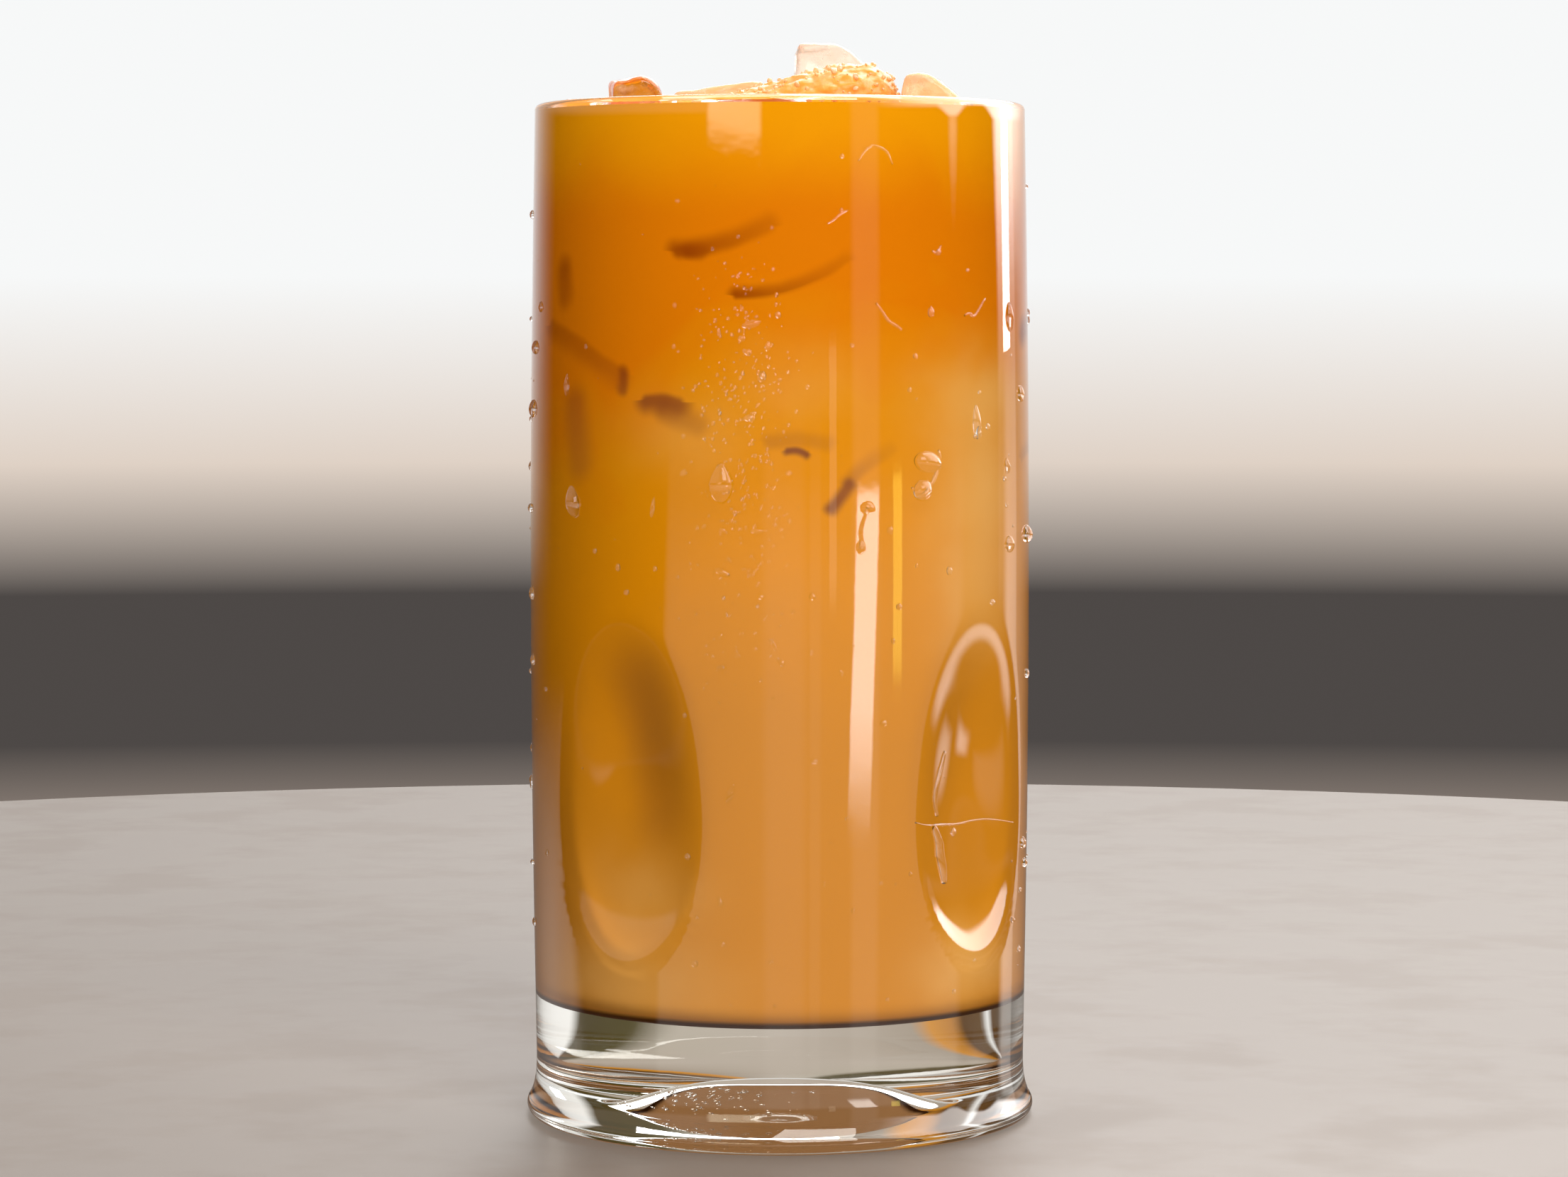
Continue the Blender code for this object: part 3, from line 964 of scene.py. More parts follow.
def make_ice_edge():
    """Group: an edge of a sunken block of ice where it comes near the glass. It also draws the painted
    shade in the left dimple.

    Places are on the unrolled wall: the arc from the front, the height, 0. The edge runs from one
    place to the other with a bow, shows most at its start, and fades above and below the line.
    """
    tree, given, out = new_group(
        "ice_edge",
        [("Place", "NodeSocketVector", (0, 0, 0)), ("Start", "NodeSocketVector", (0, 0, 0)),
         ("Run", "NodeSocketVector", (0.01, 0, 0)), ("Bow", "NodeSocketFloat", 0.0),
         ("Above", "NodeSocketFloat", 0.001), ("Below", "NodeSocketFloat", 0.001),
         ("Tail", "NodeSocketFloat", 0.5)],
        [("Shown", "NodeSocketFloat")],
    )
    away = vectors(tree, "SUBTRACT", given["Place"], given["Start"])
    whole = vectors(tree, "DOT_PRODUCT", given["Run"], given["Run"])
    reached = vectors(tree, "DOT_PRODUCT", away, given["Run"])
    along = add(tree, "ShaderNodeClamp", {"Value": maths(tree, "DIVIDE", reached, whole)}).outputs[0]
    on_line = add(tree, "ShaderNodeVectorMath", {0: given["Run"], 3: along}, operation="SCALE")
    hump = maths(tree, "MULTIPLY", maths(tree, "MULTIPLY", along, 4.0),
                 maths(tree, "SUBTRACT", 1.0, along))
    lifted = add(tree, "ShaderNodeCombineXYZ", {"Y": maths(tree, "MULTIPLY", hump, given["Bow"])})
    nearest = vectors(tree, "ADD", on_line.outputs["Vector"], lifted.outputs[0])
    off = vectors(tree, "SUBTRACT", away, nearest)
    is_above = ranged(tree, add(tree, "ShaderNodeSeparateXYZ", {0: off}).outputs["Y"],
                      -0.15 * MM, 0.15 * MM)
    reach = add(tree, "ShaderNodeMapRange", {"Value": is_above, "To Min": given["Below"],
                                             "To Max": given["Above"]}).outputs["Result"]
    near = ranged(tree, maths(tree, "DIVIDE", vectors(tree, "LENGTH", off), reach), 0.1, 1.0, 1.0, 0.0)
    strength = add(tree, "ShaderNodeMapRange", {"Value": along, "To Min": 1.0,
                                                "To Max": given["Tail"]}).outputs["Result"]
    tree.links.new(maths(tree, "MULTIPLY", near, strength), out["Shown"])


def make_milk_cloud():
    """Group: a soft cloud of milk round a middle, 0 to 1."""
    tree, given, out = new_group(
        "milk_cloud",
        [("Place", "NodeSocketVector", (0, 0, 0)), ("Middle", "NodeSocketVector", (0, 0, 0)),
         ("Spread", "NodeSocketVector", (0.01, 0.01, 0.01))],
        [("Mask", "NodeSocketFloat")],
    )
    away = vectors(tree, "DIVIDE", vectors(tree, "SUBTRACT", given["Place"], given["Middle"]),
                   given["Spread"])
    far = vectors(tree, "DOT_PRODUCT", away, away)
    tree.links.new(maths(tree, "EXPONENT", maths(tree, "MULTIPLY", far, -1.0)), out["Mask"])


# Materials


def new_material(name):
    """An empty node material: the material, its tree and its output node."""
    made = bpy.data.materials.new(name)
    made.use_nodes = True
    tree = made.node_tree
    tree.nodes.clear()
    return made, tree, add(tree, "ShaderNodeOutputMaterial")


def let_light_through(tree, out, shader, tint):
    """Light that falls on what lies behind a clear piece goes straight through it."""
    path = add(tree, "ShaderNodeLightPath").outputs
    straight = maths(tree, "MAXIMUM", path["Is Shadow Ray"], path["Is Diffuse Ray"])
    clear = add(tree, "ShaderNodeBsdfTransparent", {"Color": (*tint, 1.0)})
    both = add(tree, "ShaderNodeMixShader", {0: straight, 1: shader, 2: clear.outputs[0]})
    tree.links.new(both.outputs[0], out.inputs["Surface"])


def rippled(tree, place, size, strength, distance):
    """The normal of a surface with ripples of one size."""
    ripples = use_group(tree, "melt_ripples", {"Place": place, "Size": size})
    inputs = {"Height": ripples["Height"], "Strength": strength, "Distance": distance}
    return add(tree, "ShaderNodeBump", inputs).outputs[0]


def hazed(tree, place, size, least, most):
    """A film with patches of one size, and how rough it leaves the surface."""
    return use_group(tree, "surface_haze", {"Place": place, "Size": size, "Least": least,
                                            "Most": most})


def clear_glass():
    """Pressed clear glass: a trace of green where it is thick, faint waves and a touch of film."""
    made, tree, out = new_material("clear_glass")
    place = place_of(tree)
    film = hazed(tree, place, 18 * MM, 0.0, 0.03)
    height = add(tree, "ShaderNodeSeparateXYZ", {0: place}).outputs["Z"]
    tint = mixed(tree, ranged(tree, height, 4 * MM, 22 * MM), (0.94, 0.935, 0.90),
                 (0.995, 1.0, 0.995))
    shader = add(tree, "ShaderNodeBsdfPrincipled", {
        "Base Color": tint, "Roughness": film["Roughness"], "IOR": 1.5,
        "Transmission Weight": 1.0, "Normal": rippled(tree, place, 16 * MM, 0.05, 0.4 * MM)})
    let_light_through(tree, out, shader.outputs[0], (0.96, 0.97, 0.96))
    return made


def water():
    """Beads of cold water."""
    made, tree, out = new_material("water")
    place = place_of(tree)
    film = hazed(tree, place, 3 * MM, 0.0, 0.02)
    tint = mixed(tree, film["Mask"], (1.0, 1.0, 1.0), (0.97, 0.985, 0.99))
    shader = add(tree, "ShaderNodeBsdfPrincipled", {
        "Base Color": tint, "Roughness": film["Roughness"], "IOR": 1.33,
        "Transmission Weight": 1.0, "Normal": rippled(tree, place, 1.2 * MM, 0.12, 0.15 * MM)})
    let_light_through(tree, out, shader.outputs[0], (0.98, 0.98, 0.98))
    return made


# Edges of sunken ice that come near the glass. Azimuth from -Y towards +X in degrees and height in
# mm at the start and at the end, then the bow, how far it shows above and below in mm, how much of
# it shows at the end, and how strongly it shows. The last one is no edge but painted shade laid on
# the tea in the left dimple
ICE_EDGES_AND_SHADE = (
    (-24.0, 123.6, -2.0, 127.2, -0.7, 2.6, 1.5, 0.40, 0.80),
    (-21.6, 123.7, -19.0, 123.5, 0.0, 2.0, 1.5, 0.80, 0.60),
    (-10.0, 117.8, 15.8, 122.4, -1.5, 2.0, 0.9, 0.25, 0.85),
    (-59.7, 121.2, -59.5, 118.0, 0.0, 3.2, 3.2, 0.80, 0.60),
    (-66.0, 113.8, -40.5, 107.2, 0.4, 1.6, 3.6, 0.90, 0.42),
    (-39.0, 107.2, -39.3, 105.0, 0.0, 1.7, 1.5, 0.90, 0.75),
    (-32.0, 103.7, -24.0, 103.3, 0.3, 1.3, 2.9, 0.90, 0.85),
    (-27.0, 102.3, -19.5, 100.2, 0.0, 2.6, 2.6, 0.60, 0.55),
    (1.4, 97.0, 6.0, 96.3, 0.3, 0.7, 1.1, 1.00, 0.95),
    (-2.4, 98.0, 11.0, 97.4, 0.5, 2.0, 1.6, 0.80, 0.28),
    (11.8, 88.9, 16.2, 92.2, 0.0, 1.3, 1.5, 0.90, 0.92),
    (16.0, 92.2, 26.0, 96.4, 0.4, 1.9, 1.2, 0.30, 0.40),
    (-54.9, 102.5, -53.1, 94.6, 0.0, 4.2, 4.2, 0.80, 0.42),
    (-34.5, 64.0, -31.0, 47.0, 0.0, 8.5, 8.5, 0.90, 0.24),
)
EDGES_BEHIND = 11

# Clouds of milk: azimuth from -Y in degrees, height, width and length in mm, and strength
CLOUDS = (
    (54.0, 91.0, 8, 12, 0.85),
    (53.0, 77.0, 9, 9, 0.55),
    (54.0, 24.0, 10, 6, 0.80),
    (-36.0, 35.0, 9, 6, 0.45),
    (-44.0, 22.0, 15, 6, 0.70),
    (56.0, 103.5, 8, 5, 0.55),
    (44.0, 103.0, 7, 6, 0.35),
    (5.0, 106.0, 8, 5, 0.22),
    (-22.0, 99.0, 8, 5, 0.25),
    (130.0, 88.0, 13, 14, 0.7),
    (200.0, 104.0, 12, 9, 0.6),
    (255.0, 82.0, 12, 14, 0.6),
)


def edges_behind():
    """Like edges of ice on the sides that the camera doesn't see."""
    draw = random.Random(5)
    edges = []
    for i in range(EDGES_BEHIND):
        start = 78.0 + 190.0 * i / (EDGES_BEHIND - 1)
        start = start if start < 180.0 else start - 360.0
        z = draw.uniform(84, 130)
        end = start + draw.choice((-1, 1)) * draw.uniform(5, 22)
        above, below = draw.choice(((2.4, 1.0), (1.0, 2.6), (3.0, 3.0)))
        edges.append((start, z, end, z + draw.uniform(-4, 5), draw.uniform(-1, 1), above, below,
                      draw.uniform(0.2, 0.8), draw.uniform(0.5, 0.9)))
    return edges


def tea_colours(tree, tea, place):
    """Tea that is deep orange above and milky below, with wisps where the milk sinks, made lighter
    just under the surface as painted backlight.
    """
    swirl = add(tree, "ShaderNodeTexNoise", {"Vector": place, "Scale": 1.0 / (22 * MM),
                                             "Detail": 3.0, "Distortion": 1.2})
    parts = add(tree, "ShaderNodeSeparateXYZ", {0: place}).outputs
    unblended = ranged(tree, parts["X"], -4 * MM, -26 * MM, 0.0, 14 * MM)
    wisps = maths(tree, "MULTIPLY", maths(tree, "SUBTRACT", swirl.outputs["Fac"], 0.5), 22 * MM)
    height = maths(tree, "ADD", maths(tree, "ADD", parts["Z"], wisps), unblended)
    position = maths(tree, "DIVIDE", height, tea.level)
    hue = ramp(tree, position, (
        (0.13, tea.lower_colour), (0.40, tea.lower_colour), (0.60, tea.middle_colour),
        (0.72, tea.middle_colour), (0.84, tea.upper_colour), (1.0, tea.upper_colour)))
    # Painted backlight: the lighter top colour laid over the tea just under the surface
    near_top = ranged(tree, maths(tree, "ADD", parts["Z"], maths(tree, "MULTIPLY", wisps, 0.4)),
                      tea.level - 15 * MM, tea.level)
    return mixed(tree, near_top, hue, tea.backlit_top_colour)


def milk_tea(t, tea):
    """The side of the drink, seen through the glass, with clouds of milk and ice behind it. It has
    painted shade in the corner over the base and in the left dimple, and a painted glow on its
    underside.
    """
    made, tree, out = new_material("milk_tea")
    place = place_of(tree)
    hue = tea_colours(tree, tea, place)
    curl = add(tree, "ShaderNodeTexNoise", {"Vector": place, "Scale": 1.0 / (9 * MM), "Detail": 2.0})
    bend = vectors(tree, "SUBTRACT", curl.outputs["Color"], (0.5, 0.5, 0.5))
    drifted = vectors(tree, "ADD", place, vectors(tree, "MULTIPLY", bend, [14 * tea.drift] * 3))
    for from_front, z, wide, tall, strength in CLOUDS:
        azimuth = math.radians(from_front) - math.pi / 2
        radius = inner_radius(t, z * MM)
        middle = (radius * math.cos(azimuth), radius * math.sin(azimuth), z * MM)
        mask = use_group(tree, "milk_cloud", {"Place": drifted, "Middle": middle,
                                              "Spread": (wide * MM, wide * MM, tall * MM)})["Mask"]
        hue = mixed(tree, maths(tree, "MULTIPLY", mask, strength), hue, tea.milk_colour)
    parts = add(tree, "ShaderNodeSeparateXYZ", {0: place}).outputs
    turned = maths(tree, "ARCTAN2", parts["X"], maths(tree, "MULTIPLY", parts["Y"], -1.0))
    unroll = inner_radius(t, tea.level)
    arc_length = maths(tree, "MULTIPLY", turned, unroll)
    unrolled = add(tree, "ShaderNodeCombineXYZ", {"X": arc_length, "Y": parts["Z"]}).outputs[0]
    crumple = vectors(tree, "MULTIPLY", bend, (4 * tea.drift, 3 * tea.drift, 0.0))
    unrolled = vectors(tree, "ADD", unrolled, crumple)
    ice_and_shade_hue = mixed(tree, ranged(tree, parts["Z"], 98 * MM, 112 * MM), tea.ice_and_shade_in_milk,
                    tea.ice_in_tea)
    # Edges of sunken ice, and the painted shade in the left dimple
    for edge in (*ICE_EDGES_AND_SHADE, *edges_behind()):
        start = Vector((math.radians(edge[0]) * unroll, edge[1] * MM, 0.0))
        end = Vector((math.radians(edge[2]) * unroll, edge[3] * MM, 0.0))
        shown = use_group(tree, "ice_edge", {
            "Place": unrolled, "Start": start, "Run": end - start, "Bow": edge[4] * MM,
            "Above": edge[5] * MM, "Below": edge[6] * MM, "Tail": edge[7]})["Shown"]
        hue = mixed(tree, maths(tree, "MULTIPLY", shown, edge[8]), hue, ice_and_shade_hue)
    # Low down: painted shade in the corner over the thick base, and the underside colour nearer the
    # middle
    low = ranged(tree, parts["Z"], t.floor_height + 1.3 * MM, t.floor_height + 0.5 * MM)
    flat = vectors(tree, "LENGTH", vectors(tree, "MULTIPLY", place, (1, 1, 0)))
    outward = ranged(tree, flat, unroll - 9 * MM, unroll - 5 * MM)
    hue = mixed(tree, low, hue, mixed(tree, outward, tea.under_colour, tea.shade_colour))
    # Painted glow: emission on the underside, for light that soaks through the tea
    glow = mixed(tree, maths(tree, "MULTIPLY", low, maths(tree, "SUBTRACT", 1.0, outward)),
                 (0.0, 0.0, 0.0), tea.glow_colour)
    shader = add(tree, "ShaderNodeBsdfPrincipled", {
        "Base Color": hue, "Roughness": 0.5, "IOR": 1.33, "Specular IOR Level": 0.04,
        "Emission Color": glow, "Emission Strength": 1.0})
    tree.links.new(shader.outputs[0], out.inputs["Surface"])
    return made


def tea_surface(tea):
    """The open surface of the drink and the pockets that the ice sits in: wet and glossy."""
    made, tree, out = new_material("tea_surface")
    place = place_of(tree)
    hue = tea_colours(tree, tea, place)
    cream = ranged(tree, noise(tree, place, 7 * MM, 4.0), 0.5, 0.72, 0.0, 0.35)
    hue = mixed(tree, cream, hue, tea.milk_colour)
    shader = add(tree, "ShaderNodeBsdfPrincipled", {
        "Base Color": hue, "Roughness": 0.06, "IOR": 1.33,
        "Normal": rippled(tree, place, 6 * MM, 0.15, 0.5 * MM)})
    tree.links.new(shader.outputs[0], out.inputs["Surface"])
    return made


def clear_ice(name, hue, clear, rough):
    """Wet ice: partly clear, with a cloudy heart and melted ripples."""
    made, tree, out = new_material(name)
    place = place_of(tree)
    veil = ranged(tree, noise(tree, place, 3.5 * MM, 5.0, 0.6), 0.45, 0.7)
    tint = mixed(tree, maths(tree, "MULTIPLY", veil, 0.35), hue, (1.0, 0.93, 0.84))
    roughness = ranged(tree, veil, 0.0, 1.0, 0.3 * rough, rough)
    shader = add(tree, "ShaderNodeBsdfPrincipled", {
        "Base Color": tint, "Roughness": roughness, "IOR": 1.31, "Transmission Weight": clear,
        "Normal": rippled(tree, place, 2.2 * MM, 0.35, 0.5 * MM)})
    let_light_through(tree, out, shader.outputs[0], [0.3 + 0.7 * part for part in hue])
    return made


def crushed_ice(name, ice):
    """Crushed ice soaked with tea: translucent, grainy and frosted in patches."""
    made, tree, out = new_material(name)
    place = place_of(tree)
    cells = add(tree, "ShaderNodeTexVoronoi", {"Vector": place, "Scale": 1.0 / (1.1 * MM)})
    frost = ranged(tree, noise(tree, place, 1.6 * MM, 5.0, 0.65), 0.48, 0.72)
    hue = mixed(tree, frost, ice.crust_colour, ice.frost_colour)
    deep = ranged(tree, cells.outputs["Distance"], 0.25, 0.75, 0.0, 0.2)
    hue = mixed(tree, deep, hue, ice.soaked_colour)
    bump = add(tree, "ShaderNodeBump", {"Height": cells.outputs["Distance"], "Strength": 0.3,
                                        "Distance": 0.0003}, invert=True)
    shader = add(tree, "ShaderNodeBsdfPrincipled", {
        "Base Color": hue, "Roughness": 0.28, "IOR": 1.31, "Transmission Weight": 0.10,
        "Subsurface Weight": 0.7, "Subsurface Radius": (0.0024, 0.0014, 0.0006),
        "Subsurface Scale": 1.0, "Normal": bump.outputs[0]})
    tree.links.new(shader.outputs[0], out.inputs["Surface"])
    return made


def azimuth_of(tree, x, y):
    """Azimuth in degrees from -Y towards +X."""
    turned = maths(tree, "ARCTAN2", x, maths(tree, "MULTIPLY", y, -1.0))
    return maths(tree, "MULTIPLY", turned, 180.0 / math.pi)


def round_the_base(tree, turned):
    """The colours that the clear base gathers from the room behind it."""
    stops = [((azimuth + 180.0) / 360.0, hue) for azimuth, hue in ROUND_THE_BASE]
    return ramp(tree, ranged_plain(tree, turned, -180.0, 180.0), stops)


def pale_floor(t, stage):
    """A plain table top. Where it is seen through the base, it glows with painted light and shade:
    warmer bands of the room behind the glass, and the table in the hollow of the base.
    """
    made, tree, out = new_material("pale_floor")
    place = place_of(tree)
    film = hazed(tree, place, 30 * MM, 0.45, 0.55)
    hue = mixed(tree, film["Mask"], stage.floor_colour, [0.97 * c for c in stage.floor_colour])
    shader = add(tree, "ShaderNodeBsdfPrincipled", {
        "Base Color": hue, "Roughness": film["Roughness"], "Specular IOR Level": 0.25})
    parts = add(tree, "ShaderNodeSeparateXYZ", {0: place}).outputs
    away = maths(tree, "SUBTRACT", parts["Y"], t.foot_radius)
    room_painted_on_floor = round_the_base(tree, azimuth_of(tree, parts["X"], away))
    under = ranged(tree, vectors(tree, "LENGTH", place), 1.45 * t.punt_radius, 1.2 * t.punt_radius)
    room_painted_on_floor = mixed(tree, under, room_painted_on_floor, stage.painted_under_base)
    # Painted light and shade: the floor glows with these colours to rays through the glass
    glow = add(tree, "ShaderNodeEmission", {"Color": room_painted_on_floor})
    path = add(tree, "ShaderNodeLightPath").outputs
    both = add(tree, "ShaderNodeMixShader", {0: path["Is Transmission Ray"], 1: shader.outputs[0],
                                             2: glow.outputs[0]})
    tree.links.new(both.outputs[0], out.inputs["Surface"])
    return made


# Stage


# Soft boxes: name, azimuth from -Y towards +X in degrees, distance and height of its middle in m,
# width and height in m, how bright its face is, colour. The glass doesn't mirror those named fill.
# fill_rim is small, close over the left of the rim, and hidden from the camera
SOFT_BOXES = (
    ("key", 19.0, 0.82, 0.70, 0.60, 0.60, 9.7, (1.0, 0.98, 0.92)),
    ("fill_left", -72.0, 0.85, 0.75, 0.50, 0.50, 0.3, (1.0, 0.98, 0.95)),
    ("fill_rim", -64.0, 0.13, 0.28, 0.10, 0.10, 3.7, (1.0, 0.98, 0.95)),
    ("edge_strip", 127.0, 0.80, 0.185, 0.11, 0.15, 8.0, (1.0, 0.95, 0.90)),
    ("top", 180.0, 0.20, 0.90, 0.50, 0.50, 3.0, (1.0, 0.98, 0.96)),
    ("behind", 172.0, 0.90, 0.62, 0.60, 0.40, 5.0, (1.0, 0.99, 0.97)),
)
LIT_MIDDLE = Vector((0, 0, 80 * MM))

# Further parts of the room that the glass mirrors. Each is a soft edge between two azimuths or two
# elevations in degrees. Where it doesn't go from 0 to 1, what it goes from and to follows.
# The far edge of the bright surface: its elevation by azimuth, and how soft it is
TABLE_EDGE = (-62.0, -50.0, -12.0, -1.2)
TABLE_EDGE_BEHIND = (-98.0, -120.0, 0.0, 6.0)
TABLE_EDGE_SOFT = (1.2, -3.0)
# The dark stretch at the right: its middle, sides, top and lower part, then the dark at the foot
DARK_MIDDLE = 109.0
DARK_SIDES = (21.0, 14.0)
DARK_TOP = (0.5, -1.0)
DARK_LOWER = (-4.5, -3.0, 1.0, 0.75)
DARK_FOOT = (-10.6, -13.5)
# The glow low in that stretch: its elevation, then its sides and its upper and lower ends
GLOW_ELEVATION = -13.4
GLOW_SIDES = (13.0, 3.0, 0.0, 3.0)
GLOW_ENDS = (3.2, 0.6)
# The ceiling at the right: its side, its edge, and how far that edge comes down in two places
CEILING_SIDE = (40.0, 80.0)
CEILING_EDGE = (8.5, 13.0, 0.0, 7.5)
CEILING_LOW_FROM = (77.0, 87.0)
CEILING_LOW_TO = (99.0, 88.0, 0.0, 6.3)
CEILING_LOW_BEHIND = (108.0, 122.0, 0.0, 8.4)
# The wall at the left: its lower edge and its side
LEFT_WALL_EDGE = (4.0, 9.0, 0.0, 0.70)
LEFT_WALL_SIDE = (-10.0, -40.0)

# Upright bands of the room that the wall mirrors: azimuth and half width in degrees, then how
# bright they are above and below the horizon
MIRRORED_BANDS = (
    (39.5, 6.3, 0.55, 0.60),
    (16.0, 2.5, 0.00, 0.35),
    (2.0, 9.0, 0.00, 0.45),
    (130.0, 9.0, 1.60, 2.20),
)

# Bright openings of the room: azimuth and half width, elevations of the top and of both ends of the
# soft lower end, lean in degrees per degree, brightness, colour
OPENINGS = (
    (-21.0, 12.4, 14.0, 4.4, 3.9, 0.0, 4.6, (1.0, 0.93, 0.70)),
    (40.6, 5.4, -1.8, -5.6, -8.4, 0.7, 9.5, (1.0, 0.97, 0.93)),
    (55.0, 2.3, -1.4, -4.4, -5.8, 0.0, 5.0, (1.0, 0.86, 0.10)),
    (24.0, 1.7, 1.0, -3.2, -4.2, 0.0, 1.2, (1.0, 0.95, 0.75)),
)

# What the clear base shows of the room behind it: azimuth in degrees, colour
# The floor also glows with these colours as painted light, where it is seen through the base
ROUND_THE_BASE = (
    (-180, (0.52, 0.45, 0.38)), (-163, (0.40, 0.33, 0.26)), (-159, (0.66, 0.28, 0.03)),
    (-153, (0.50, 0.20, 0.02)), (-149, (0.12, 0.055, 0.015)), (-141, (0.14, 0.07, 0.02)),
    (-138, (1.0, 0.98, 0.95)), (-135, (0.12, 0.055, 0.015)), (-118, (0.06, 0.04, 0.02)),
    (-95, (0.55, 0.52, 0.48)), (95, (0.55, 0.52, 0.48)), (112, (1.0, 0.98, 0.94)),
    (137, (1.0, 0.98, 0.94)), (142, (0.07, 0.05, 0.014)), (160, (0.09, 0.07, 0.02)),
    (168, (0.50, 0.44, 0.36)), (180, (0.52, 0.45, 0.38)),
)


def make_floor(stage):
    """A round pale table top with a soft edge, thick enough to look solid."""
    choose()
    bpy.ops.mesh.primitive_cylinder_add(vertices=128, radius=stage.floor_radius,
                                        depth=stage.floor_thickness,
                                        location=(0, 0, -stage.floor_thickness / 2))
    floor = bpy.context.object
    floor.name = "floor"
    apply_modifier(floor, "BEVEL", width=stage.floor_edge, segments=4)
    apply_place(floor)
    smooth(floor)
    bpy.ops.object.shade_smooth_by_angle(angle=math.radians(40))
    floor.data.materials.append(pale_floor(bpy.context.scene.tumbler_sizes, stage))
    floor.visible_glossy = False


def make_lights():
    """Soft boxes that face the middle of the glass."""
    for name, from_front, away, height, wide, tall, brightness, hue in SOFT_BOXES:
        turn = math.radians(from_front)
        place = Vector((away * math.sin(turn), -away * math.cos(turn), height))
        choose()
        bpy.ops.object.light_add(type="AREA", location=place)
        light = bpy.context.object
        light.name = name
        light.rotation_euler = (place - LIT_MIDDLE).to_track_quat("Z", "Y").to_euler()
        light.data.shape = "RECTANGLE"
        light.data.size, light.data.size_y = wide, tall
        light.data.energy = brightness * math.pi * wide * tall
        light.data.color = hue
        light.visible_glossy = not name.startswith("fill")
        light.visible_camera = name != "fill_rim"


def mirrored_table(tree, turned, rising, stage):
    """A dark room over the bright surface that the wall mirrors."""
    edge = maths(tree, "ADD", ranged(tree, turned, *TABLE_EDGE),
                 ranged(tree, turned, *TABLE_EDGE_BEHIND))
    table = ranged(tree, maths(tree, "SUBTRACT", rising, edge), *TABLE_EDGE_SOFT)
    return mixed(tree, table, (0.002, 0.002, 0.002), stage.front_table)


def with_bands(tree, turned, rising, room):
    """The room with its upright bands."""
    low = ranged(tree, rising, 0.5, -2.5)
    for azimuth, wide, above, below in MIRRORED_BANDS:
        band = ranged(tree, apart(tree, turned, azimuth), 0.7 * wide, 1.3 * wide, 1.0, 0.0)
        bright = add(tree, "ShaderNodeMapRange", {"Value": low, "To Min": above, "To Max": below})
        mask = product(tree, band, bright.outputs["Result"])
        room = mixed(tree, mask, room, added(tree, room, (1.0, 0.95, 0.9)))
    return room


def with_dark_stretch(tree, turned, rising, room):
    """The room darkened at the right and at its foot, with the glow that is left there."""
    away = apart(tree, turned, DARK_MIDDLE)
    shade = product(tree, ranged(tree, away, *DARK_SIDES), ranged(tree, rising, *DARK_TOP),
                    ranged(tree, rising, *DARK_LOWER))
    shade = maths(tree, "MAXIMUM", shade, ranged(tree, rising, *DARK_FOOT))
    room = mixed(tree, shade, room, (0.05, 0.045, 0.04))
    glow = product(tree, ranged(tree, away, *GLOW_SIDES),
                   ranged(tree, apart(tree, rising, GLOW_ELEVATION), *GLOW_ENDS))
    return added(tree, room, grey(tree, glow))


def with_ceiling(tree, turned, rising, room):
    """The room with its pale ceiling at the right and its dim wall at the left."""
    lowered = product(tree, ranged(tree, turned, *CEILING_LOW_TO),
                      ranged(tree, turned, *CEILING_LOW_FROM))
    lowered = maths(tree, "ADD", ranged(tree, turned, *CEILING_LOW_BEHIND), lowered)
    ceiling = product(tree, ranged(tree, turned, *CEILING_SIDE),
                      ranged(tree, maths(tree, "ADD", rising, lowered), *CEILING_EDGE))
    left_wall = product(tree, ranged(tree, rising, *LEFT_WALL_EDGE),
                        ranged(tree, turned, *LEFT_WALL_SIDE))
    return added(tree, room, grey(tree, maths(tree, "ADD", ceiling, left_wall)))


def with_openings(tree, turned, rising, room):
    """The room with its bright openings."""
    for azimuth, wide, top, fading, bottom, lean, brightness, hue in OPENINGS:
        leaning = maths(tree, "MULTIPLY_ADD", maths(tree, "SUBTRACT", rising, top), lean, azimuth)
        shown = product(tree, ranged(tree, apart(tree, turned, leaning), 1.1 * wide, 0.85 * wide),
                        ranged(tree, rising, top + 0.25, top - 0.25),
                        ranged(tree, rising, bottom, fading))
        room = mixed(tree, shown, room, added(tree, room, [brightness * part for part in hue]))
    return room


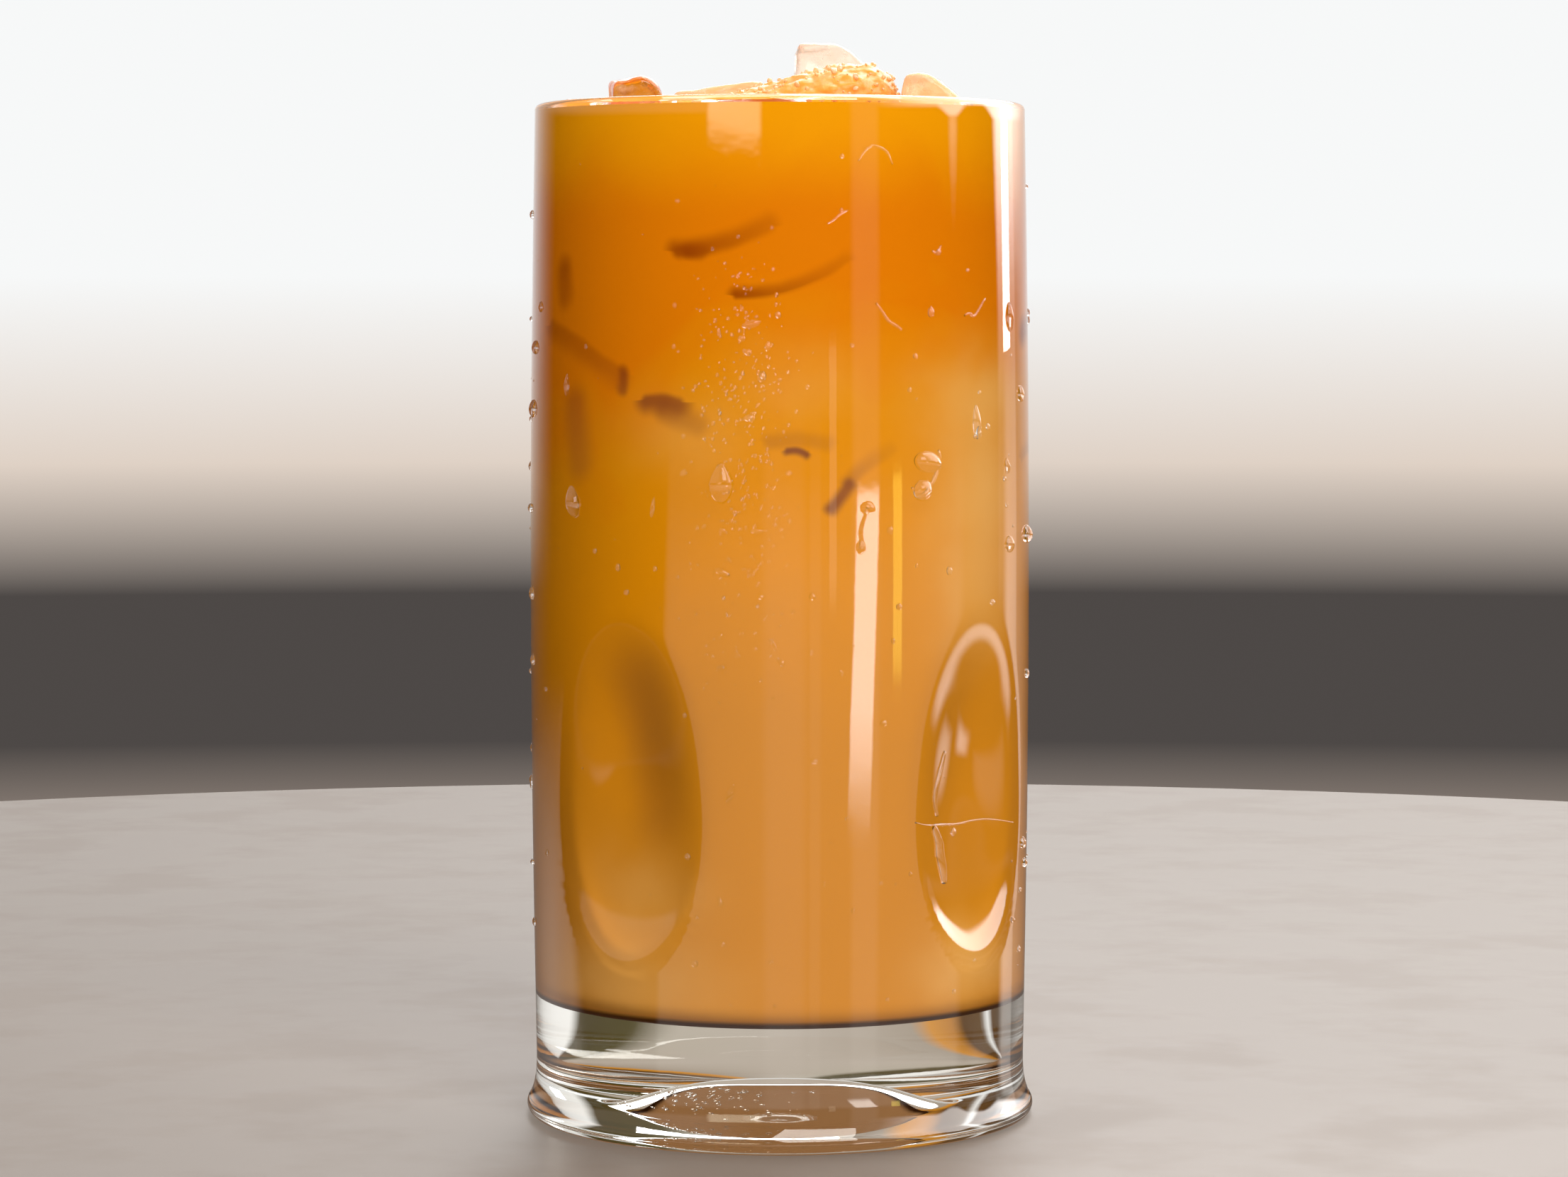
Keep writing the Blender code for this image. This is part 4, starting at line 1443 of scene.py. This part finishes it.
def make_room(stage):
    """Even light, a backdrop that dims towards the table, and the room that the glass mirrors."""
    world = bpy.data.worlds.new("room")
    bpy.context.scene.world = world
    world.use_nodes = True
    tree = world.node_tree
    tree.nodes.clear()
    looked = add(tree, "ShaderNodeTexCoord").outputs["Generated"]
    parts = add(tree, "ShaderNodeSeparateXYZ", {0: looked}).outputs
    rising = maths(tree, "MULTIPLY", maths(tree, "ARCSINE", parts["Z"]), 180.0 / math.pi)
    turned = azimuth_of(tree, parts["X"], parts["Y"])
    backdrop = ramp(tree, ranged_plain(tree, rising, -10.0, 2.0), (
        (0.30, stage.floor_colour), (0.36, stage.backdrop_low), (0.52, stage.backdrop_low),
        (0.66, stage.backdrop_warm), (0.86, stage.backdrop_high)))
    room = mirrored_table(tree, turned, rising, stage)
    room = with_bands(tree, turned, rising, room)
    room = with_dark_stretch(tree, turned, rising, room)
    room = with_ceiling(tree, turned, rising, room)
    room = with_openings(tree, turned, rising, room)
    room = mixed(tree, ranged(tree, parts["Y"], 0.6, 0.98), room, backdrop)
    even = add(tree, "ShaderNodeBackground", {"Color": (0.97, 0.98, 1.0, 1.0),
                                              "Strength": stage.ambient})
    mirrored = add(tree, "ShaderNodeBackground", {"Color": room})
    path = add(tree, "ShaderNodeLightPath").outputs
    steep = ranged(tree, maths(tree, "ABSOLUTE", rising), 4.0, 6.5)
    through = mixed(tree, steep, backdrop, round_the_base(tree, turned))
    seen = add(tree, "ShaderNodeBackground", {
        "Color": mixed(tree, path["Is Camera Ray"], through, backdrop)})
    is_seen = maths(tree, "MAXIMUM", path["Is Camera Ray"], path["Is Transmission Ray"])
    lit = add(tree, "ShaderNodeMixShader", {0: path["Is Glossy Ray"], 1: even.outputs[0],
                                            2: mirrored.outputs[0]})
    all_of_it = add(tree, "ShaderNodeMixShader", {0: is_seen, 1: lit.outputs[0],
                                                  2: seen.outputs[0]})
    out = add(tree, "ShaderNodeOutputWorld")
    tree.links.new(all_of_it.outputs[0], out.inputs["Surface"])


def make_camera(stage):
    """The photograph's point of view."""
    choose()
    place = (stage.camera_side, -stage.camera_distance, stage.camera_height)
    turn = (math.pi / 2 - stage.camera_tilt, 0.0, 0.0)
    bpy.ops.object.camera_add(location=place, rotation=turn)
    camera = bpy.context.object
    camera.data.sensor_width = 36.0
    camera.data.lens = stage.lens
    bpy.context.scene.camera = camera


# Operators


class MILKTEA_OT_stage(bpy.types.Operator):
    """Set a pale table, soft boxes, the room and the camera"""

    bl_idname = "milk_tea.stage"
    bl_label = "Set the Stage"

    def execute(self, context):
        stage = context.scene.stage_looks
        make_camera(stage)
        make_floor(stage)
        make_lights()
        make_room(stage)
        context.scene.view_settings.view_transform = "Standard"
        return {"FINISHED"}


class MILKTEA_OT_shared_effects(bpy.types.Operator):
    """Make the shader effects that several materials use"""

    bl_idname = "milk_tea.shared_effects"
    bl_label = "Make Shared Effects"

    def execute(self, context):
        make_ripples()
        make_haze()
        make_ice_edge()
        make_milk_cloud()
        return {"FINISHED"}


class MILKTEA_OT_tumbler(bpy.types.Operator):
    """Make the tumbler with its thick base and thumb dimples"""

    bl_idname = "milk_tea.tumbler"
    bl_label = "Tumbler"

    def execute(self, context):
        obj = make_tumbler(context.scene.tumbler_sizes)
        finished(obj, clear_glass(), "clear_glass", "glass")
        return {"FINISHED"}


class MILKTEA_OT_tea(bpy.types.Operator):
    """Pour the tea, with its clouds of milk and the ice that shows through it"""

    bl_idname = "milk_tea.tea"
    bl_label = "Tea"

    def execute(self, context):
        t, tea = context.scene.tumbler_sizes, context.scene.tea_looks
        obj = make_tea(t, tea, context.scene.ice_looks)
        obj.data.materials.clear()
        obj.data.materials.append(milk_tea(t, tea))
        obj.data.materials.append(tea_surface(tea))
        for face in obj.data.polygons:
            face.material_index = 0 if is_at_glass(face, t, tea) else 1
        rode(obj, "milk_tea", "drink")
        return {"FINISHED"}


class MILKTEA_OT_ice(bpy.types.Operator):
    """Set the clear and the soaked pieces of ice in their pockets"""

    bl_idname = "milk_tea.ice"
    bl_label = "Ice"

    def execute(self, context):
        ice = context.scene.ice_looks
        clear = clear_ice("clear_ice", ice.clear_colour, 0.55, 0.50)
        tinted = clear_ice("tinted_ice", ice.tinted_colour, 0.50, 0.35)
        soaked = clear_ice("soaked_ice", ice.soaked_colour, 0.75, 0.12)
        looks = {"ice_left": soaked, "ice_chip": soaked, "ice_front": soaked, "ice_wedge": tinted,
                 "ice_right": tinted, "ice_back_left": tinted}
        for node in ICE_NODES:
            if node == "ice_mound":
                continue
            piece = melted_ice(node.replace("ice_", "melted_"), node, ice)
            finished(piece, looks.get(node, clear), "clear_ice", node)
        return {"FINISHED"}


class MILKTEA_OT_crust(bpy.types.Operator):
    """Heap the crushed ice in the middle, with loose grains on it"""

    bl_idname = "milk_tea.crust"
    bl_label = "Crushed Ice"

    def execute(self, context):
        ice, level = context.scene.ice_looks, context.scene.tea_looks.level
        look = crushed_ice("crushed_ice", ice)
        core = crusty_core("crusty_lump", ice)
        grains = scatter_grains("loose_grains", core, level, ice)
        finished(core, look, "crusty_ice", "ice_mound")
        finished(grains, bpy.data.materials["tinted_ice"], "crusty_ice")
        return {"FINISHED"}


class MILKTEA_OT_water(bpy.types.Operator):
    """Bead the cold glass with water, large drops, fine mist and the hollow under the base"""

    bl_idname = "milk_tea.water"
    bl_label = "Condensation"

    def execute(self, context):
        t, sizes = context.scene.tumbler_sizes, context.scene.water_sizes
        look = water()
        for piece in (make_beads(t, sizes), make_mist(t, sizes), make_base_beads(t, sizes)):
            finished(piece, look, "clear_glass")
        return {"FINISHED"}


class MILKTEA_PT_panel(bpy.types.Panel):
    """The drink's pieces in the order in which they are made"""

    bl_idname = "MILKTEA_PT_panel"
    bl_label = "Iced Milk Tea"
    bl_space_type = "VIEW_3D"
    bl_region_type = "UI"
    bl_category = "Milk Tea"

    def draw(self, context):
        for operator in OPERATORS:
            self.layout.operator(operator.bl_idname)


GROUPS = (
    ("tumbler_sizes", TumblerSizes),
    ("tea_looks", TeaLooks),
    ("ice_looks", IceLooks),
    ("water_sizes", WaterSizes),
    ("stage_looks", StageLooks),
)
OPERATORS = (
    MILKTEA_OT_shared_effects,
    MILKTEA_OT_stage,
    MILKTEA_OT_tumbler,
    MILKTEA_OT_tea,
    MILKTEA_OT_ice,
    MILKTEA_OT_crust,
    MILKTEA_OT_water,
)


def register():
    """Adds the settings, the operators and the panel."""
    for name, group in GROUPS:
        bpy.utils.register_class(group)
        setattr(bpy.types.Scene, name, PointerProperty(type=group))
    for kind in (*OPERATORS, MILKTEA_PT_panel):
        bpy.utils.register_class(kind)


def unregister():
    """Takes them away again."""
    for kind in reversed((*OPERATORS, MILKTEA_PT_panel)):
        bpy.utils.unregister_class(kind)
    for name, group in reversed(GROUPS):
        delattr(bpy.types.Scene, name)
        bpy.utils.unregister_class(group)


def main():
    """Makes every piece in order."""
    register()
    bpy.ops.milk_tea.shared_effects()
    bpy.ops.milk_tea.stage()
    bpy.ops.milk_tea.tumbler()
    bpy.ops.milk_tea.tea()
    bpy.ops.milk_tea.ice()
    bpy.ops.milk_tea.crust()
    bpy.ops.milk_tea.water()


if __name__ == "__main__":
    main()
